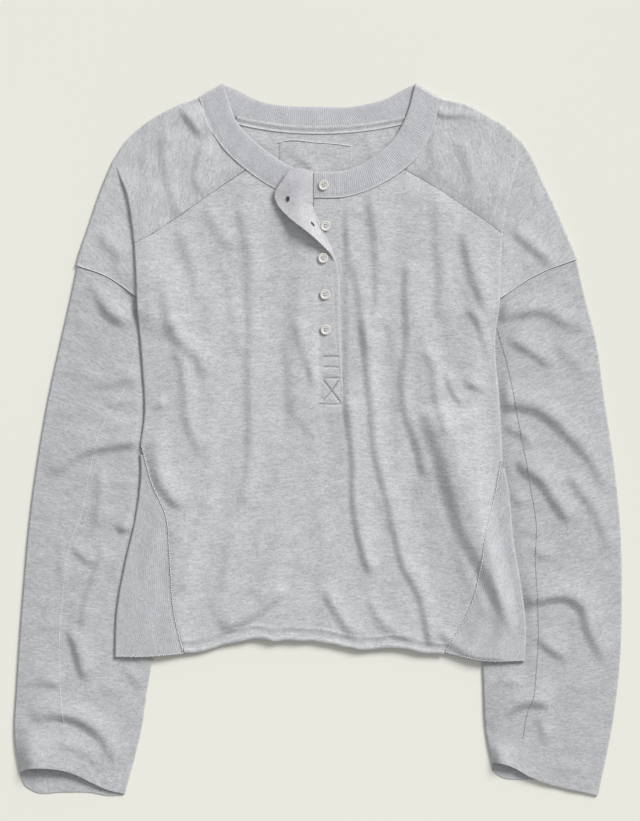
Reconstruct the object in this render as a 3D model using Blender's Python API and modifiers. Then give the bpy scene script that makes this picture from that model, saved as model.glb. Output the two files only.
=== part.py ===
"""Henley shirt laid flat, face up, with its sleeves swung down beside the body.

Frame: +X towards the wearer's left, +Y towards the neck, +Z up from the surface that it lies on. Every size
below is in millimetres, and MM turns it into metres. "Right" and "left" are the wearer's, so right is -X.
Each cloth piece is a thin open surface, worked out from its outline and from the layers under it, and a
Solidify modifier gives it its wall.
"""
import math
from collections import namedtuple

import bmesh
import bpy
import numpy as np

MM = 0.001
MERGE = 1e-5         # metres

# Walls and clearances
JERSEY = 1.2
RIB = 1.6
DOUBLED = 1.6
TRIM = 1.0           # neck tape and patch
AIR = 0.9            # between a panel and the one it lies on
SEAM = 0.6           # between two panels that are sewn edge to edge
BACK_INSET = 3.0     # from the back to the edges that are folded under beside it
ON_TOP = 0.4         # between a panel and a small piece on it
LAYER = JERSEY + AIR
BACK_Z = JERSEY / 2  # middle of the wall of a panel that lies on the surface
TUCK = 4.0           # how far a folded edge goes on under itself
CREASE_STEP = 1.0    # how far the crease's step reaches across

# How finely each piece is divided
ROWS = 18            # the front from the neck to the hem
SLIT_ROWS = 8        # the front down to the foot of the placket
EDGE_ROWS = 9        # the front down to the tip of the gussets
YOKE_ROWS = 5        # a yoke down its crease, and on down the dropped shoulder beside it
DROP_ROWS = 9
SLEEVE_RINGS = 17
COLLAR_ROWS = 14     # each of the three stretches of the collar band

# How much the layers under a panel raise it
SLEEVE_STACK = 3.3   # both layers of a sleeve under the body
PLEAT = 4.0          # pleat hidden under the body's edge, beside the dropped shoulder
PLACKET_STACK = 2.0  # button stand under the right front
NECK_RISE = 1.4      # the neckline stands a little proud
PUFF = 1.6           # slack air in the body

# Where those rises begin and end. Each pair runs from no effect to full effect, or the other way
SLEEVE_EDGE_RAMP = (-46, -5)      # past the inner edge of the hidden part of a sleeve
ARMHOLE_RAMP = (14, 62)           # above the armhole seam, where the hidden sleeve ends
DROP_RAMPS = ((-10, 24), (-8, 4)) # beside the body's edge, and above the armhole seam, on the dropped shoulder
BODY_SIDE = 173
PLEAT_RAMP = (2, 48)              # inside the crease
PLEAT_TOP = 238
PLEAT_FOOT = (-30, -6)            # above the armhole seam
NECK_REACH = 34
NECK_RAMP = (50, 100)
STAND_RAMPS = ((-34, -14), (30, 50), (8, 36))   # its right side, its left side and its foot
LEFT_HALF_RAMP = (36, 70)
LOOSE_RAMPS = ((0, 26), (180, 300), (-214, -188))  # inside the body's edge, towards the neck, above the hem
PLACKET_RAMPS = ((-16, -6), (30, 46), (20, 40))    # where the placket holds the cloth flat

# Outlines, columns x, y
SHOULDER = {
    "right": [(-115, 329), (-131, 322), (-161, 306), (-184, 286), (-196, 268)],
    "left": [(117, 328), (141, 321), (161, 311), (179, 300), (196, 284)],
}
DROP_EDGE = {
    "right": [(-196, 268), (-205, 247), (-212, 228), (-221, 201), (-228, 181), (-232, 167)],
    "left": [(196, 284), (204, 271), (211, 255), (224, 228), (236, 201), (248, 173)],
}
CREASE = {
    "right": [(-196, 268), (-189, 252), (-183, 236), (-179, 214), (-176, 190), (-174, 160), (-173, 136)],
    "left": [(196, 284), (190, 265), (185, 245), (179, 218), (176, 200), (174, 165), (173, 135)],
}
YOKE_SEAM = {
    "right": [(-70, 260), (-91, 246), (-109, 234), (-137, 214), (-163, 197), (-176, 190)],
    "left": [(84, 260), (104, 249), (125, 236), (147, 221), (164, 209), (176, 200)],
}
BODY_EDGE = {
    "right": [(-176, 190), (-174, 160), (-173, 132), (-168, 72), (-166, 22), (-170, -6)],
    "left": [(176, 200), (174, 165), (173, 132), (169, 100), (173, 36), (176, -20)],
}
GUSSET_SEAM = {
    "right": [(-170, -6), (-160, -42), (-147, -72), (-143, -112), (-139, -165), (-130, -206)],
    "left": [(176, -20), (169, -58), (162, -86), (155, -129), (149, -154), (122, -205)],
}
GUSSET_EDGE = {
    "right": [(-170, -6), (-169, -31), (-174, -74), (-185, -123), (-192, -163), (-194, -209)],
    "left": [(176, -20), (182, -53), (186, -96), (193, -138), (198, -180), (197, -213)],
}
COLLAR_SEAM = {
    "right": [(-115, 329), (-110, 311), (-101, 295), (-81, 269), (-70, 260), (-56, 250), (-41, 241), (-11, 229)],
    "left": [(117, 328), (114, 309), (106, 291), (94, 271), (84, 260), (63, 247), (45, 239), (20, 233)],
}
HEM = {
    "right": [(-130, -206), (-108, -201), (-86, -194), (-62, -191), (-20, -192), (5, -193), (22, -197)],
    "left": [(122, -205), (98, -203), (72, -198), (38, -200), (22, -197)],
}
GUSSET_HEM = {
    "right": [(-130, -206), (-164, -209), (-194, -209)],
    "left": [(122, -205), (159, -213), (197, -213)],
}
PLACKET_EDGE = [(-11, 229), (-1, 211), (6, 196), (13, 181), (17, 168), (19, 120), (22, 60), (24, 36)]
STAND_SEAM = [(20, 233), (21, 190), (21, 120), (24, 60), (24, 36)]
CENTRE_BELOW = [(24, 36), (26, -60), (24, -140), (22, -197)]

# Folds that stand up: a path of x, y points, half the fold's width, and its height
Fold = namedtuple("Fold", "path half_width height")
FRONT_FOLDS = [
    Fold([(-60, 210), (-60, 100), (-62, -20), (-66, -110)], 13, 2.4),
    Fold([(-110, 215), (-112, 120), (-118, 20)], 15, 1.8),
    Fold([(-140, 130), (-132, 95), (-108, 70)], 10, 2.6),
    Fold([(-162, -10), (-143, -48), (-122, -70)], 9, 3.0),
    Fold([(-95, -80), (-100, -140), (-108, -190)], 14, 1.6),
    Fold([(40, 215), (44, 150), (54, 60), (66, -40), (88, -125), (112, -190)], 10, 3.4),
    Fold([(64, 225), (66, 150), (68, 40)], 10, 2.2),
    Fold([(34, 20), (40, -60), (52, -125)], 9, 2.4),
    Fold([(120, 235), (122, 150), (104, 60)], 12, 2.2),
    Fold([(92, 100), (94, 30), (112, -30)], 10, 2.2),
    Fold([(110, 15), (134, -50), (150, -95), (178, -165)], 11, 3.8),
    Fold([(-62, -178), (-50, -160), (-36, -150)], 10, 1.6),
]
SLEEVE_FOLDS = {
    "right": [
        Fold([(-220, 150), (-208, 128), (-190, 118)], 11, 2.6),
        Fold([(-182, -8), (-215, -16), (-250, -24)], 9, 3.0),
        Fold([(-184, -80), (-200, -84)], 9, 2.0),
        Fold([(-222, -100), (-232, -150), (-236, -190)], 12, 1.8),
        Fold([(-240, -175), (-224, -225)], 10, 2.2),
        Fold([(-268, -262), (-232, -268), (-204, -292)], 10, 3.0),
    ],
    "left": [
        Fold([(182, 124), (226, 124), (256, 112)], 10, 2.8),
        Fold([(190, 96), (226, 76)], 9, 2.0),
        Fold([(186, 38), (220, 34), (248, 4), (262, -12)], 10, 3.2),
        Fold([(190, -16), (222, -46), (238, -70)], 9, 2.4),
        Fold([(240, -32), (270, -66), (276, -92)], 9, 2.0),
        Fold([(204, -160), (232, -146), (256, -158), (274, -204)], 10, 3.0),
        Fold([(180, -270), (200, -248), (220, -252)], 10, 2.8),
    ],
}

# Sleeves from the armhole to the cuff, columns outer x, outer y, inner x, inner y
SLEEVE = {
    "right": [(-232, 167, -96, 95), (-239, 134, -104, 68), (-248, 94, -113, 34), (-259, 44, -122, -6),
              (-269, -13, -131, -52), (-277, -70, -139, -98), (-284, -147, -151, -160),
              (-290, -233, -165, -238), (-292, -289, -174, -292), (-287, -320, -187, -341)],
    "left": [(248, 173, 112, 103), (257, 134, 120, 72), (266, 100, 126, 44), (275, 39, 135, -8),
             (284, -21, 143, -60), (290, -78, 150, -112), (292, -151, 156, -176), (290, -215, 159, -226),
             (284, -267, 161, -272), (269, -342.6, 168, -314)],
}
SLEEVE_WALL = 1.1
SLEEVE_AIR = 0.6
SLEEVE_PUFF = 0.8
# Cuff mouths: where across the cuff the mouth is widest, how far its front edge is drawn back and its back
# edge reaches on, and how far it stands open
Mouth = namedtuple("Mouth", "across front back open")
MOUTH = {"right": Mouth(0.25, 11, -13, 6.0), "left": Mouth(0.85, 3, -8, 3.0)}
GUSSET_TIP = 0.04    # where the gusset begins, as a share of its length
MOUTH_REACH = 0.12   # part of the sleeve's length that the mouth opens

# Collar band from its right end round the back to its left end. The front follows the front panel, and at
# each neck point the band folds over to the back.
CollarRow = namedtuple("CollarRow", "seam_x seam_y free_x free_y place")
COLLAR = [
    CollarRow(-14, 232, -11, 259, "front"),
    CollarRow(-41, 242, -26, 263, "front"),
    CollarRow(-70, 261, -53, 281, "front"),
    CollarRow(-92, 282, -76, 303, "front"),
    CollarRow(-109, 311, -86, 326, "front"),
    CollarRow(-114, 328, -91, 342, "fold"),
    CollarRow(-98, 317.5, -82, 339, "back"),
    CollarRow(-79, 310.5, -62, 329, "back"),
    CollarRow(-45, 303.5, -40, 323, "back"),
    CollarRow(2, 300.5, 2, 321, "back"),
    CollarRow(60, 305.5, 44, 323, "back"),
    CollarRow(83, 310.5, 66, 329, "back"),
    CollarRow(101, 317.5, 85, 339, "back"),
    CollarRow(116, 327, 93, 342, "fold"),
    CollarRow(113, 309, 88, 322, "front"),
    CollarRow(94, 272, 73, 291, "front"),
    CollarRow(63, 248, 52, 272, "front"),
    CollarRow(30, 235, 28, 260, "front"),
    CollarRow(-6, 233, -4, 258, "front"),
]
COLLAR_TILT = 1.2    # how much higher the free edge of the band's front stands
COLLAR_TURN = 0.07   # how near the fold the band is still flat, as a share of the next row's distance
TAPE_TOP = 2.0       # upper and lower edge of the tape, from the seam that it covers
TAPE_FOOT = -6.0
TAPE_ENDS = (0.10, 0.91)  # of the band's seam at the back
PATCH_X = (-37, 32)
PATCH_Y = (286, 254)
STAND_LEFT = -6

# Turned-out corner of the right front, columns x, y: its fold and its free edge from the foot up, and its
# top edge
FLAP_FOLD = [(15, 173), (12, 181), (4.6, 193.6), (-3, 207), (-6.5, 222), (-7, 236), (-7, 259)]
FLAP_EDGE = [(15, 173), (12, 178.6), (5.3, 185.5), (-8.9, 198.2), (-20.8, 207.4), (-30.7, 216), (-39.5, 227),
             (-42, 235), (-40.6, 240.6)]
FLAP_TOP = [(-7, 259), (-17, 261), (-26, 260), (-34, 250), (-40.6, 240.6)]
FLAP_RISE = 5.0

# Buttons, columns x, y and what each is sewn to
BUTTONS = [(5, 245, "collar"), (7, 206, "stand"), (4.5, 175, "front"), (6.5, 140, "front"), (7, 106, "front")]
BUTTON_RADIUS = 5.0
BUTTON_THICK = 2.0
BUTTON_DISH = (3.6, 0.5)     # radius and depth of its dished middle
BUTTON_HOLE = (0.65, 1.1)    # radius of a thread hole, and its distance from both centre lines

COLORS = {
    "jersey": ((0.51, 0.52, 0.53, 1), 0.95),
    "rib": ((0.48, 0.48, 0.50, 1), 0.95),
    "facing": ((0.58, 0.58, 0.60, 1), 0.90),
    "button": ((0.82, 0.80, 0.72, 1), 0.35),
}


def smooth(low, high, value):
    """0 below low, 1 above high, and a soft step between them."""
    t = np.clip((np.asarray(value, dtype=float) - low) / (high - low), 0.0, 1.0)
    return t * t * (3.0 - 2.0 * t)


def fractions(count):
    return np.linspace(0, 1, count + 1)


def along(points, shares):
    """Points at shares of the length of the smooth curve through the rows of points."""
    rows = np.array(points, dtype=float)
    reach = np.concatenate([[0.0], np.cumsum(np.linalg.norm(np.diff(rows[:, :2], axis=0), axis=1))])
    slope = np.gradient(rows, reach, axis=0)
    at = np.atleast_1d(shares) * reach[-1]
    i = np.clip(np.searchsorted(reach, at, side="right") - 1, 0, len(reach) - 2)
    span = (reach[i + 1] - reach[i])[:, None]
    f = (at - reach[i])[:, None] / span
    return ((2 * f**3 - 3 * f**2 + 1) * rows[i] + (f**3 - 2 * f**2 + f) * span * slope[i]
            + (3 * f**2 - 2 * f**3) * rows[i + 1] + (f**3 - f**2) * span * slope[i + 1])


def join(*curves):
    """One run of points from several, without repeating the points where they meet."""
    rows = list(curves[0])
    for curve in curves[1:]:
        rows += list(curve)[1:]
    return rows


def runs(*pieces):
    """Points along several curves that meet end to end. Each piece is a curve and how many steps it takes, so
    the corners where they meet are kept."""
    parts = [along(curve, fractions(count)) for curve, count in pieces]
    return np.concatenate([parts[0]] + [part[1:] for part in parts[1:]])


def shifted(points, dx=0.0, dy=0.0):
    return [(x + dx, y + dy) for x, y in points]


def normals(points):
    """Unit vectors to the left of the run of the points."""
    run = np.gradient(np.asarray(points, float)[:, :2], axis=0)
    run /= np.linalg.norm(run, axis=1)[:, None]
    return np.stack([-run[:, 1], run[:, 0]], axis=1)


def between(top, bottom, left, right):
    """Coons patch: a grid of x, y points inside four edges, each given as an array of points."""
    u = np.linspace(0, 1, len(top))[None, :, None]
    v = np.linspace(0, 1, len(left))[:, None, None]
    corners = ((1 - u) * (1 - v) * top[0] + u * (1 - v) * top[-1]
               + (1 - u) * v * bottom[0] + u * v * bottom[-1])
    return (1 - v) * top[None] + v * bottom[None] + (1 - u) * left[:, None] + u * right[:, None] - corners


def distance_to(path, x, y):
    """Distance from each x, y to a path, and the share of the path where it is nearest."""
    line = along(path, fractions(16))
    best = np.full(np.shape(x), np.inf)
    where = np.zeros(np.shape(x))
    for k, ((ax, ay), (bx, by)) in enumerate(zip(line, line[1:])):
        dx, dy = bx - ax, by - ay
        t = np.clip(((x - ax) * dx + (y - ay) * dy) / (dx * dx + dy * dy), 0, 1)
        d = np.hypot(x - ax - t * dx, y - ay - t * dy)
        where = np.where(d < best, (k + t) / (len(line) - 1), where)
        best = np.minimum(best, d)
    return best, where


def fold_height(folds, x, y):
    total = np.zeros(np.shape(x))
    for fold in folds:
        d, t = distance_to(fold.path, x, y)
        ends = smooth(-0.02, 0.2, t) * (1 - smooth(0.8, 1.02, t))
        total = np.maximum(total, fold.height * ends * np.exp(-(d / fold.half_width) ** 2))
    return total


def x_at(points, y):
    """x of an edge that runs down the shirt, at height y."""
    line = along(points, fractions(24))
    order = np.argsort(line[:, 1])
    return np.interp(y, line[order, 1], line[order, 0])


def armhole_y(side, x):
    """Height of the armhole seam's line at x, straight from the shoulder to the hidden underarm."""
    outer_x, outer_y, inner_x, inner_y = SLEEVE[side][0]
    return outer_y + (x - outer_x) * (inner_y - outer_y) / (inner_x - outer_x)


def sleeve_lift(side, x, y):
    """How much the sleeve that lies under the body raises the body there."""
    inner = np.abs(x_at([row[2:] for row in SLEEVE[side]], y))
    over = smooth(*SLEEVE_EDGE_RAMP, np.abs(x) - inner)
    past_seam = y - armhole_y(side, x)
    beyond = smooth(*DROP_RAMPS[0], np.abs(x) - BODY_SIDE) * smooth(*DROP_RAMPS[1], past_seam)
    return SLEEVE_STACK * over * (1 - smooth(*ARMHOLE_RAMP, past_seam)) * (1 - beyond)


def back_z(x, y):
    """Middle of the back's wall: on the surface, and over the sleeves at its sides."""
    x, y = np.asarray(x, float), np.asarray(y, float)
    return BACK_Z + np.where(x < 0, sleeve_lift("right", x, y), sleeve_lift("left", x, y))


def pleat_rise(x, y):
    """Rise of the front beside the crease, which fades out at the shoulder and below the armhole."""
    rise = np.zeros(np.shape(x))
    for side, sign in (("right", -1), ("left", 1)):
        inside = np.abs(x_at(CREASE[side], y)) - sign * x
        top = 1 - smooth(PLEAT_TOP, CREASE[side][0][1], y)
        low = smooth(*PLEAT_FOOT, y - armhole_y(side, x))
        rise = rise + PLEAT * (1 - smooth(*PLEAT_RAMP, inside)) * top * low * (sign * x > 0)
    return rise


def front_z(x, y, half):
    """Middle of the front's wall. The right half lies over the button stand, and the left half beside it."""
    x, y = np.asarray(x, float), np.asarray(y, float)
    neckline = join(COLLAR_SEAM["right"], COLLAR_SEAM["left"][::-1])
    neck = NECK_RISE * np.exp(-(distance_to(neckline, x, y)[0] / NECK_REACH) ** 2)
    neck = neck * (1 - smooth(*NECK_RAMP, np.abs(x)))
    side_in, side_out, foot = STAND_RAMPS
    over_stand = smooth(*side_in, x) * (1 - smooth(*side_out, x)) * smooth(*foot, y)
    over_stand = over_stand * {"right": 1, "left": 1 - smooth(*LEFT_HALF_RAMP, y), "stand": 0}[half]
    edge = join(BODY_EDGE["right"], GUSSET_EDGE["right"])
    side_in, up, down = LOOSE_RAMPS
    loose = smooth(*side_in, np.abs(x_at(edge, y)) - np.abs(x)) * (1 - smooth(*up, y)) * smooth(*down, y)
    side_in, side_out, foot = PLACKET_RAMPS
    loose = loose * (1 - smooth(*side_in, x) * (1 - smooth(*side_out, x)) * smooth(*foot, y))
    rise = pleat_rise(x, y) + neck + PLACKET_STACK * over_stand
    return back_z(x, y) + LAYER + rise + loose * (PUFF + fold_height(FRONT_FOLDS, x, y))


def with_z(grid, z):
    return np.dstack([grid, z])


def curl(edge, drop, hand):
    """Rows that carry a folded edge round and under itself. The edge is x, y, z points in order, and drop is
    how far down the fold goes. The cloth lies to the left of the edge's run if hand is 1, or right if -1."""
    inward = hand * normals(edge)
    rows = [edge]
    for out, down in ((0.7, 0.25), (0.7, 0.75), (0.0, 1.0), (-TUCK, 1.0)):
        rows.append(np.column_stack([edge[:, :2] - inward * out, edge[:, 2] - drop * down]))
    return np.array(rows)


def material(name):
    if name in bpy.data.materials:
        return bpy.data.materials[name]
    made = bpy.data.materials.new(name)
    made.use_nodes = True
    shader = made.node_tree.nodes["Principled BSDF"]
    color, roughness = COLORS[name]
    shader.inputs["Base Color"].default_value = color
    shader.inputs["Roughness"].default_value = roughness
    return made


def add_grid(bm, points):
    """Quads through a grid of x, y, z points. Points that meet are merged later."""
    verts = [[bm.verts.new([value * MM for value in point]) for point in row] for row in points]
    for upper, lower in zip(verts, verts[1:]):
        for k in range(len(upper) - 1):
            bm.faces.new((upper[k], lower[k], lower[k + 1], upper[k + 1]))


def cloth(bm, name, wall, color, collection):
    """Object of an open surface, given its wall by Solidify."""
    bmesh.ops.remove_doubles(bm, verts=bm.verts, dist=MERGE)
    bmesh.ops.recalc_face_normals(bm, faces=bm.faces)
    mesh = bpy.data.meshes.new(name)
    bm.to_mesh(mesh)
    bm.free()
    mesh.materials.append(material(color))
    mesh.shade_smooth()
    obj = bpy.data.objects.new(name, mesh)
    collection.objects.link(obj)
    solid = obj.modifiers.new("wall", "SOLIDIFY")
    solid.thickness = wall * MM
    solid.offset = 0.0
    return obj


def make_front(collection):
    """Both halves of the front in one surface, joined below the placket slit."""
    bm = bmesh.new()
    for side, columns, slit, sign in (("right", 8, PLACKET_EDGE, 1), ("left", 7, STAND_SEAM, -1)):
        middle = runs((slit, SLIT_ROWS), (CENTRE_BELOW, ROWS - SLIT_ROWS))
        seam = COLLAR_SEAM[side]
        neck = seam[seam.index(YOKE_SEAM[side][0]):-1] + [(middle[0][0], middle[0][1] + SEAM)]
        top = runs((YOKE_SEAM[side][::-1], 7), (neck, columns)) - [0, SEAM]
        edge = runs((BODY_EDGE[side], EDGE_ROWS), (GUSSET_SEAM[side], ROWS - EDGE_ROWS)) + [sign * SEAM, 0]
        top[0] = edge[0] = top[0] + [sign * SEAM, 0]
        hem = along([edge[-1]] + HEM[side][1:], fractions(len(top) - 1))
        grid = between(top, hem, edge, middle)
        points = with_z(grid, front_z(grid[..., 0], grid[..., 1], side))
        add_grid(bm, points)
        add_grid(bm, curl(points[:EDGE_ROWS, 0], LAYER, sign))
    return cloth(bm, "body_front", JERSEY, "jersey", collection)


def make_back(collection):
    """The back, out to the dropped shoulders, a little inside the folded edges that lie on it."""
    inset = TUCK + BACK_INSET
    neck = [(-104, 314), (-79, 309), (-45, 302), (2, 299), (60, 304), (83, 309), (104, 314)]
    tops, edges = {}, {}
    for side, sign in (("right", 1), ("left", -1)):
        outline = np.array(join(SHOULDER[side], DROP_EDGE[side]), float)
        outline = (outline + normals(outline) * sign * inset)[1:-1]
        armpit_x = BODY_EDGE[side][2][0] + inset * sign
        corners = np.array([DROP_EDGE[side][-1][0] + 8 * sign, armpit_x])
        seam = np.column_stack([corners, armhole_y(side, corners) + 2 * SEAM])
        body = shifted(join(BODY_EDGE[side], GUSSET_EDGE[side])[3:], dx=inset * sign)
        tops[side] = np.concatenate([[(-104 * sign, 314)], outline, seam[:1]])
        edges[side] = runs((seam, 3), (np.concatenate([seam[1:], body]), 17))
        edges[side][-1, 1] += 3
    top = runs((tops["right"][::-1], 7), (neck, 8), (tops["left"], 7))
    hem = [edges["right"][-1], (-120, -200), (-60, -188), (5, -189), (40, -195), (120, -201), edges["left"][-1]]
    grid = between(top, along(hem, fractions(len(top) - 1)), edges["right"], edges["left"])
    bm = bmesh.new()
    add_grid(bm, with_z(grid, back_z(grid[..., 0], grid[..., 1])))
    return cloth(bm, "body_back", JERSEY, "jersey", collection)


def make_yoke(side, sign, collection):
    """A shoulder from the collar to the dropped armhole, with the step of its crease, and its outer edge
    folded under."""
    collar = COLLAR_SEAM[side]
    collar = shifted(collar[:collar.index(YOKE_SEAM[side][0]) + 1], dx=-sign * SEAM)
    top = [collar[0]] + SHOULDER[side][1:]
    seam = [collar[-1]] + YOKE_SEAM[side][1:]
    u, v = fractions(7), fractions(YOKE_ROWS)
    crease = along([p for p in CREASE[side] if p[1] >= seam[-1][1]], v)
    grid = between(along(top, u), along(seam, u), along(collar, v), crease)
    inner = with_z(grid, front_z(grid[..., 0], grid[..., 1], side))
    bm = bmesh.new()
    add_grid(bm, inner)

    lower = along([p for p in CREASE[side] if p[1] <= seam[-1][1]], fractions(DROP_ROWS - YOKE_ROWS))[1:]
    foot = np.concatenate([crease - [sign * CREASE_STEP, 0], lower + [sign * (TUCK - 2), 0]])
    foot[-1, 1] = armhole_y(side, foot[-1, 0]) + SEAM
    outer = along(DROP_EDGE[side], fractions(DROP_ROWS))
    outer[-1, 1] += SEAM
    foot[0] = outer[0] = crease[0]
    v = fractions(4)
    drop = between(np.repeat(foot[:1], 5, axis=0), along([foot[-1], outer[-1]], v), foot, outer)
    z = back_z(drop[..., 0], drop[..., 1]) + LAYER
    z[0] = inner[0, -1, 2]
    points = with_z(drop, z)
    add_grid(bm, points)
    add_grid(bm, np.stack([inner[:, -1], points[:YOKE_ROWS + 1, 0]], axis=1))
    rim = np.concatenate([inner[0], points[1:, -1]])
    add_grid(bm, curl(rim, rim[:, 2] - BACK_Z, sign))
    return cloth(bm, "yoke_" + side, JERSEY, "jersey", collection)


def make_gusset(side, sign, collection):
    """Pointed rib panel round the side fold, from its front seam to its mirror image on the back."""
    v = fractions(ROWS - EDGE_ROWS)
    v[0] = GUSSET_TIP
    front = along(GUSSET_SEAM[side], v)
    edge = along(GUSSET_EDGE[side], v)
    columns = []
    for share in (0.0, 0.35, 0.7, 1.0):
        line = front + (edge - front) * share
        line[-1] = along(GUSSET_HEM[side], share)[0]
        columns.append(np.column_stack([line, front_z(line[:, 0], line[:, 1], side)]))
    rim = columns[-1]
    turned = curl(rim, rim[:, 2] - back_z(rim[:, 0], rim[:, 1]), sign)
    bm = bmesh.new()
    add_grid(bm, np.concatenate([columns, turned[1:]]))
    return cloth(bm, "gusset_" + side, JERSEY, "rib", collection)


def make_sleeve(side, sign, collection):
    """Flattened tube from the armhole to an open cuff, through rings."""
    across = np.array([0.015, 0.14, 0.28, 0.42, 0.56, 0.70, 0.85, 0.985])
    belly = np.sin(np.pi * across) ** 0.4
    mouth = MOUTH[side]
    body = join(BODY_EDGE[side], GUSSET_EDGE[side])
    low = SLEEVE_WALL / 2
    flat = low + SLEEVE_WALL + SLEEVE_AIR
    rings = []
    for share in fractions(SLEEVE_RINGS):
        ox, oy, ix, iy = along(SLEEVE[side], share)[0]
        x, y = ox + (ix - ox) * across, oy + (iy - oy) * across
        opening = smooth(1 - MOUTH_REACH, 1, share)
        wide = np.exp(-((across - mouth.across) / 0.3) ** 2) * belly * opening
        clear = np.maximum(smooth(2, 20, sign * (x_at(body, y) - x)), 1 - smooth(-230, -214, y))
        clear = clear * smooth(0, 0.06, share) * belly
        folds = fold_height(SLEEVE_FOLDS[side], x, y) * (1 - 0.7 * opening)
        high = flat + clear * (SLEEVE_PUFF + folds) + mouth.open * wide
        upper = np.column_stack([x, y + mouth.front * wide, high])
        lower = np.column_stack([x, y + mouth.back * wide, np.full(len(x), low)])
        outer, inner = (ox, oy, (low + flat) / 2), (ix, iy, (low + flat) / 2)
        rings.append([outer, *upper, inner, *lower[::-1], outer])
    bm = bmesh.new()
    add_grid(bm, rings)
    return cloth(bm, "sleeve_" + side, SLEEVE_WALL, "jersey", collection)


def collar_rows():
    """Rows across the band: x and y of its seam, x and y of its free edge, and the heights of the two."""
    folds = [k for k, row in enumerate(COLLAR) if row.place == "fold"]
    stretches = ((COLLAR[:folds[0] + 1], "right"), (COLLAR[folds[0]:folds[1] + 1], "back"),
                 (COLLAR[folds[1]:], "left"))
    parts = []
    for stretch, half in stretches:
        flat = []
        for row in stretch:
            low = high = RIB / 2
            if half != "back":
                low = float(front_z(row.seam_x, row.seam_y, half)) + (RIB - JERSEY) / 2
                high = low + COLLAR_TILT
            flat.append(row[:4] + (low, high))
        flat = np.array(flat)
        for end, inner in ((0, 1), (-1, -2)):
            if stretch[end].place == "fold":
                flat[end, :4] += (flat[inner, :4] - flat[end, :4]) * COLLAR_TURN
        parts.append(along(flat, fractions(COLLAR_ROWS)))
    turns = [np.append(COLLAR[fold][:4], (before[-1, 4:] + after[0, 4:]) / 2)[None]
             for fold, before, after in zip(folds, parts, parts[1:])]
    return np.concatenate([parts[0], turns[0], parts[1], turns[1], parts[2]])


def make_collar(collection):
    """Band of rib that folds over to the back at both neck points."""
    rows = collar_rows()
    seam, free = rows[:, [0, 1, 4]], rows[:, [2, 3, 5]]
    bm = bmesh.new()
    add_grid(bm, np.stack([seam, (seam + free) / 2, free], axis=1))
    return cloth(bm, "collar", RIB, "rib", collection)


def make_tape(collection):
    """Tape over the back neck seam."""
    line = along([row[:2] for row in COLLAR if row.place == "back"], np.linspace(*TAPE_ENDS, 15))
    z = RIB + ON_TOP + TRIM / 2
    bm = bmesh.new()
    add_grid(bm, [[(x, y + off, z) for x, y in line] for off in (TAPE_TOP, TAPE_FOOT)])
    return cloth(bm, "neck_tape", TRIM, "facing", collection)


def make_patch(collection):
    """Patch sewn inside the back, below the tape."""
    x, y = np.meshgrid(np.linspace(*PATCH_X, 5), np.linspace(*PATCH_Y, 4))
    bm = bmesh.new()
    add_grid(bm, np.dstack([x, y, back_z(x, y) + (JERSEY + TRIM) / 2 + ON_TOP]))
    return cloth(bm, "neck_patch", TRIM, "jersey", collection)


def stand_z(y):
    """Middle of the button stand's wall, level with the front's left half beside it."""
    return front_z(np.full(np.shape(y), 12.0), y, "stand")


def make_stand(collection):
    """Button stand, from under the collar's end down to the foot of the placket."""
    right = along([(19.4, 231.6)] + shifted(STAND_SEAM[1:-1], dx=-SEAM) + [(23, 46)], fractions(9))
    left = np.column_stack([np.full(len(right), STAND_LEFT), right[:, 1]])
    bm = bmesh.new()
    add_grid(bm, [np.column_stack([left + (right - left) * s, stand_z(right[:, 1])]) for s in (0, 0.5, 1)])
    return cloth(bm, "placket_under", DOUBLED, "jersey", collection)


def make_facing(collection):
    """Corner of the right front turned out: it lifts at its fold and stands over the front."""
    v, u = fractions(8), fractions(6)
    fold, edge = along(FLAP_FOLD, v), along(FLAP_EDGE, v)
    grid = between(np.repeat(fold[:1], len(u), axis=0), along(FLAP_TOP, u), fold, edge)
    low = front_z(fold[:, 0], fold[:, 1], "right").max() + RIB + COLLAR_TILT + ON_TOP
    rise = FLAP_RISE * (1 - np.exp(-6 * u))[None, :] * smooth(0, 0.35, v)[:, None]
    bm = bmesh.new()
    add_grid(bm, with_z(grid, low + rise))
    return cloth(bm, "placket_facing", DOUBLED, "facing", collection)


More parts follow.
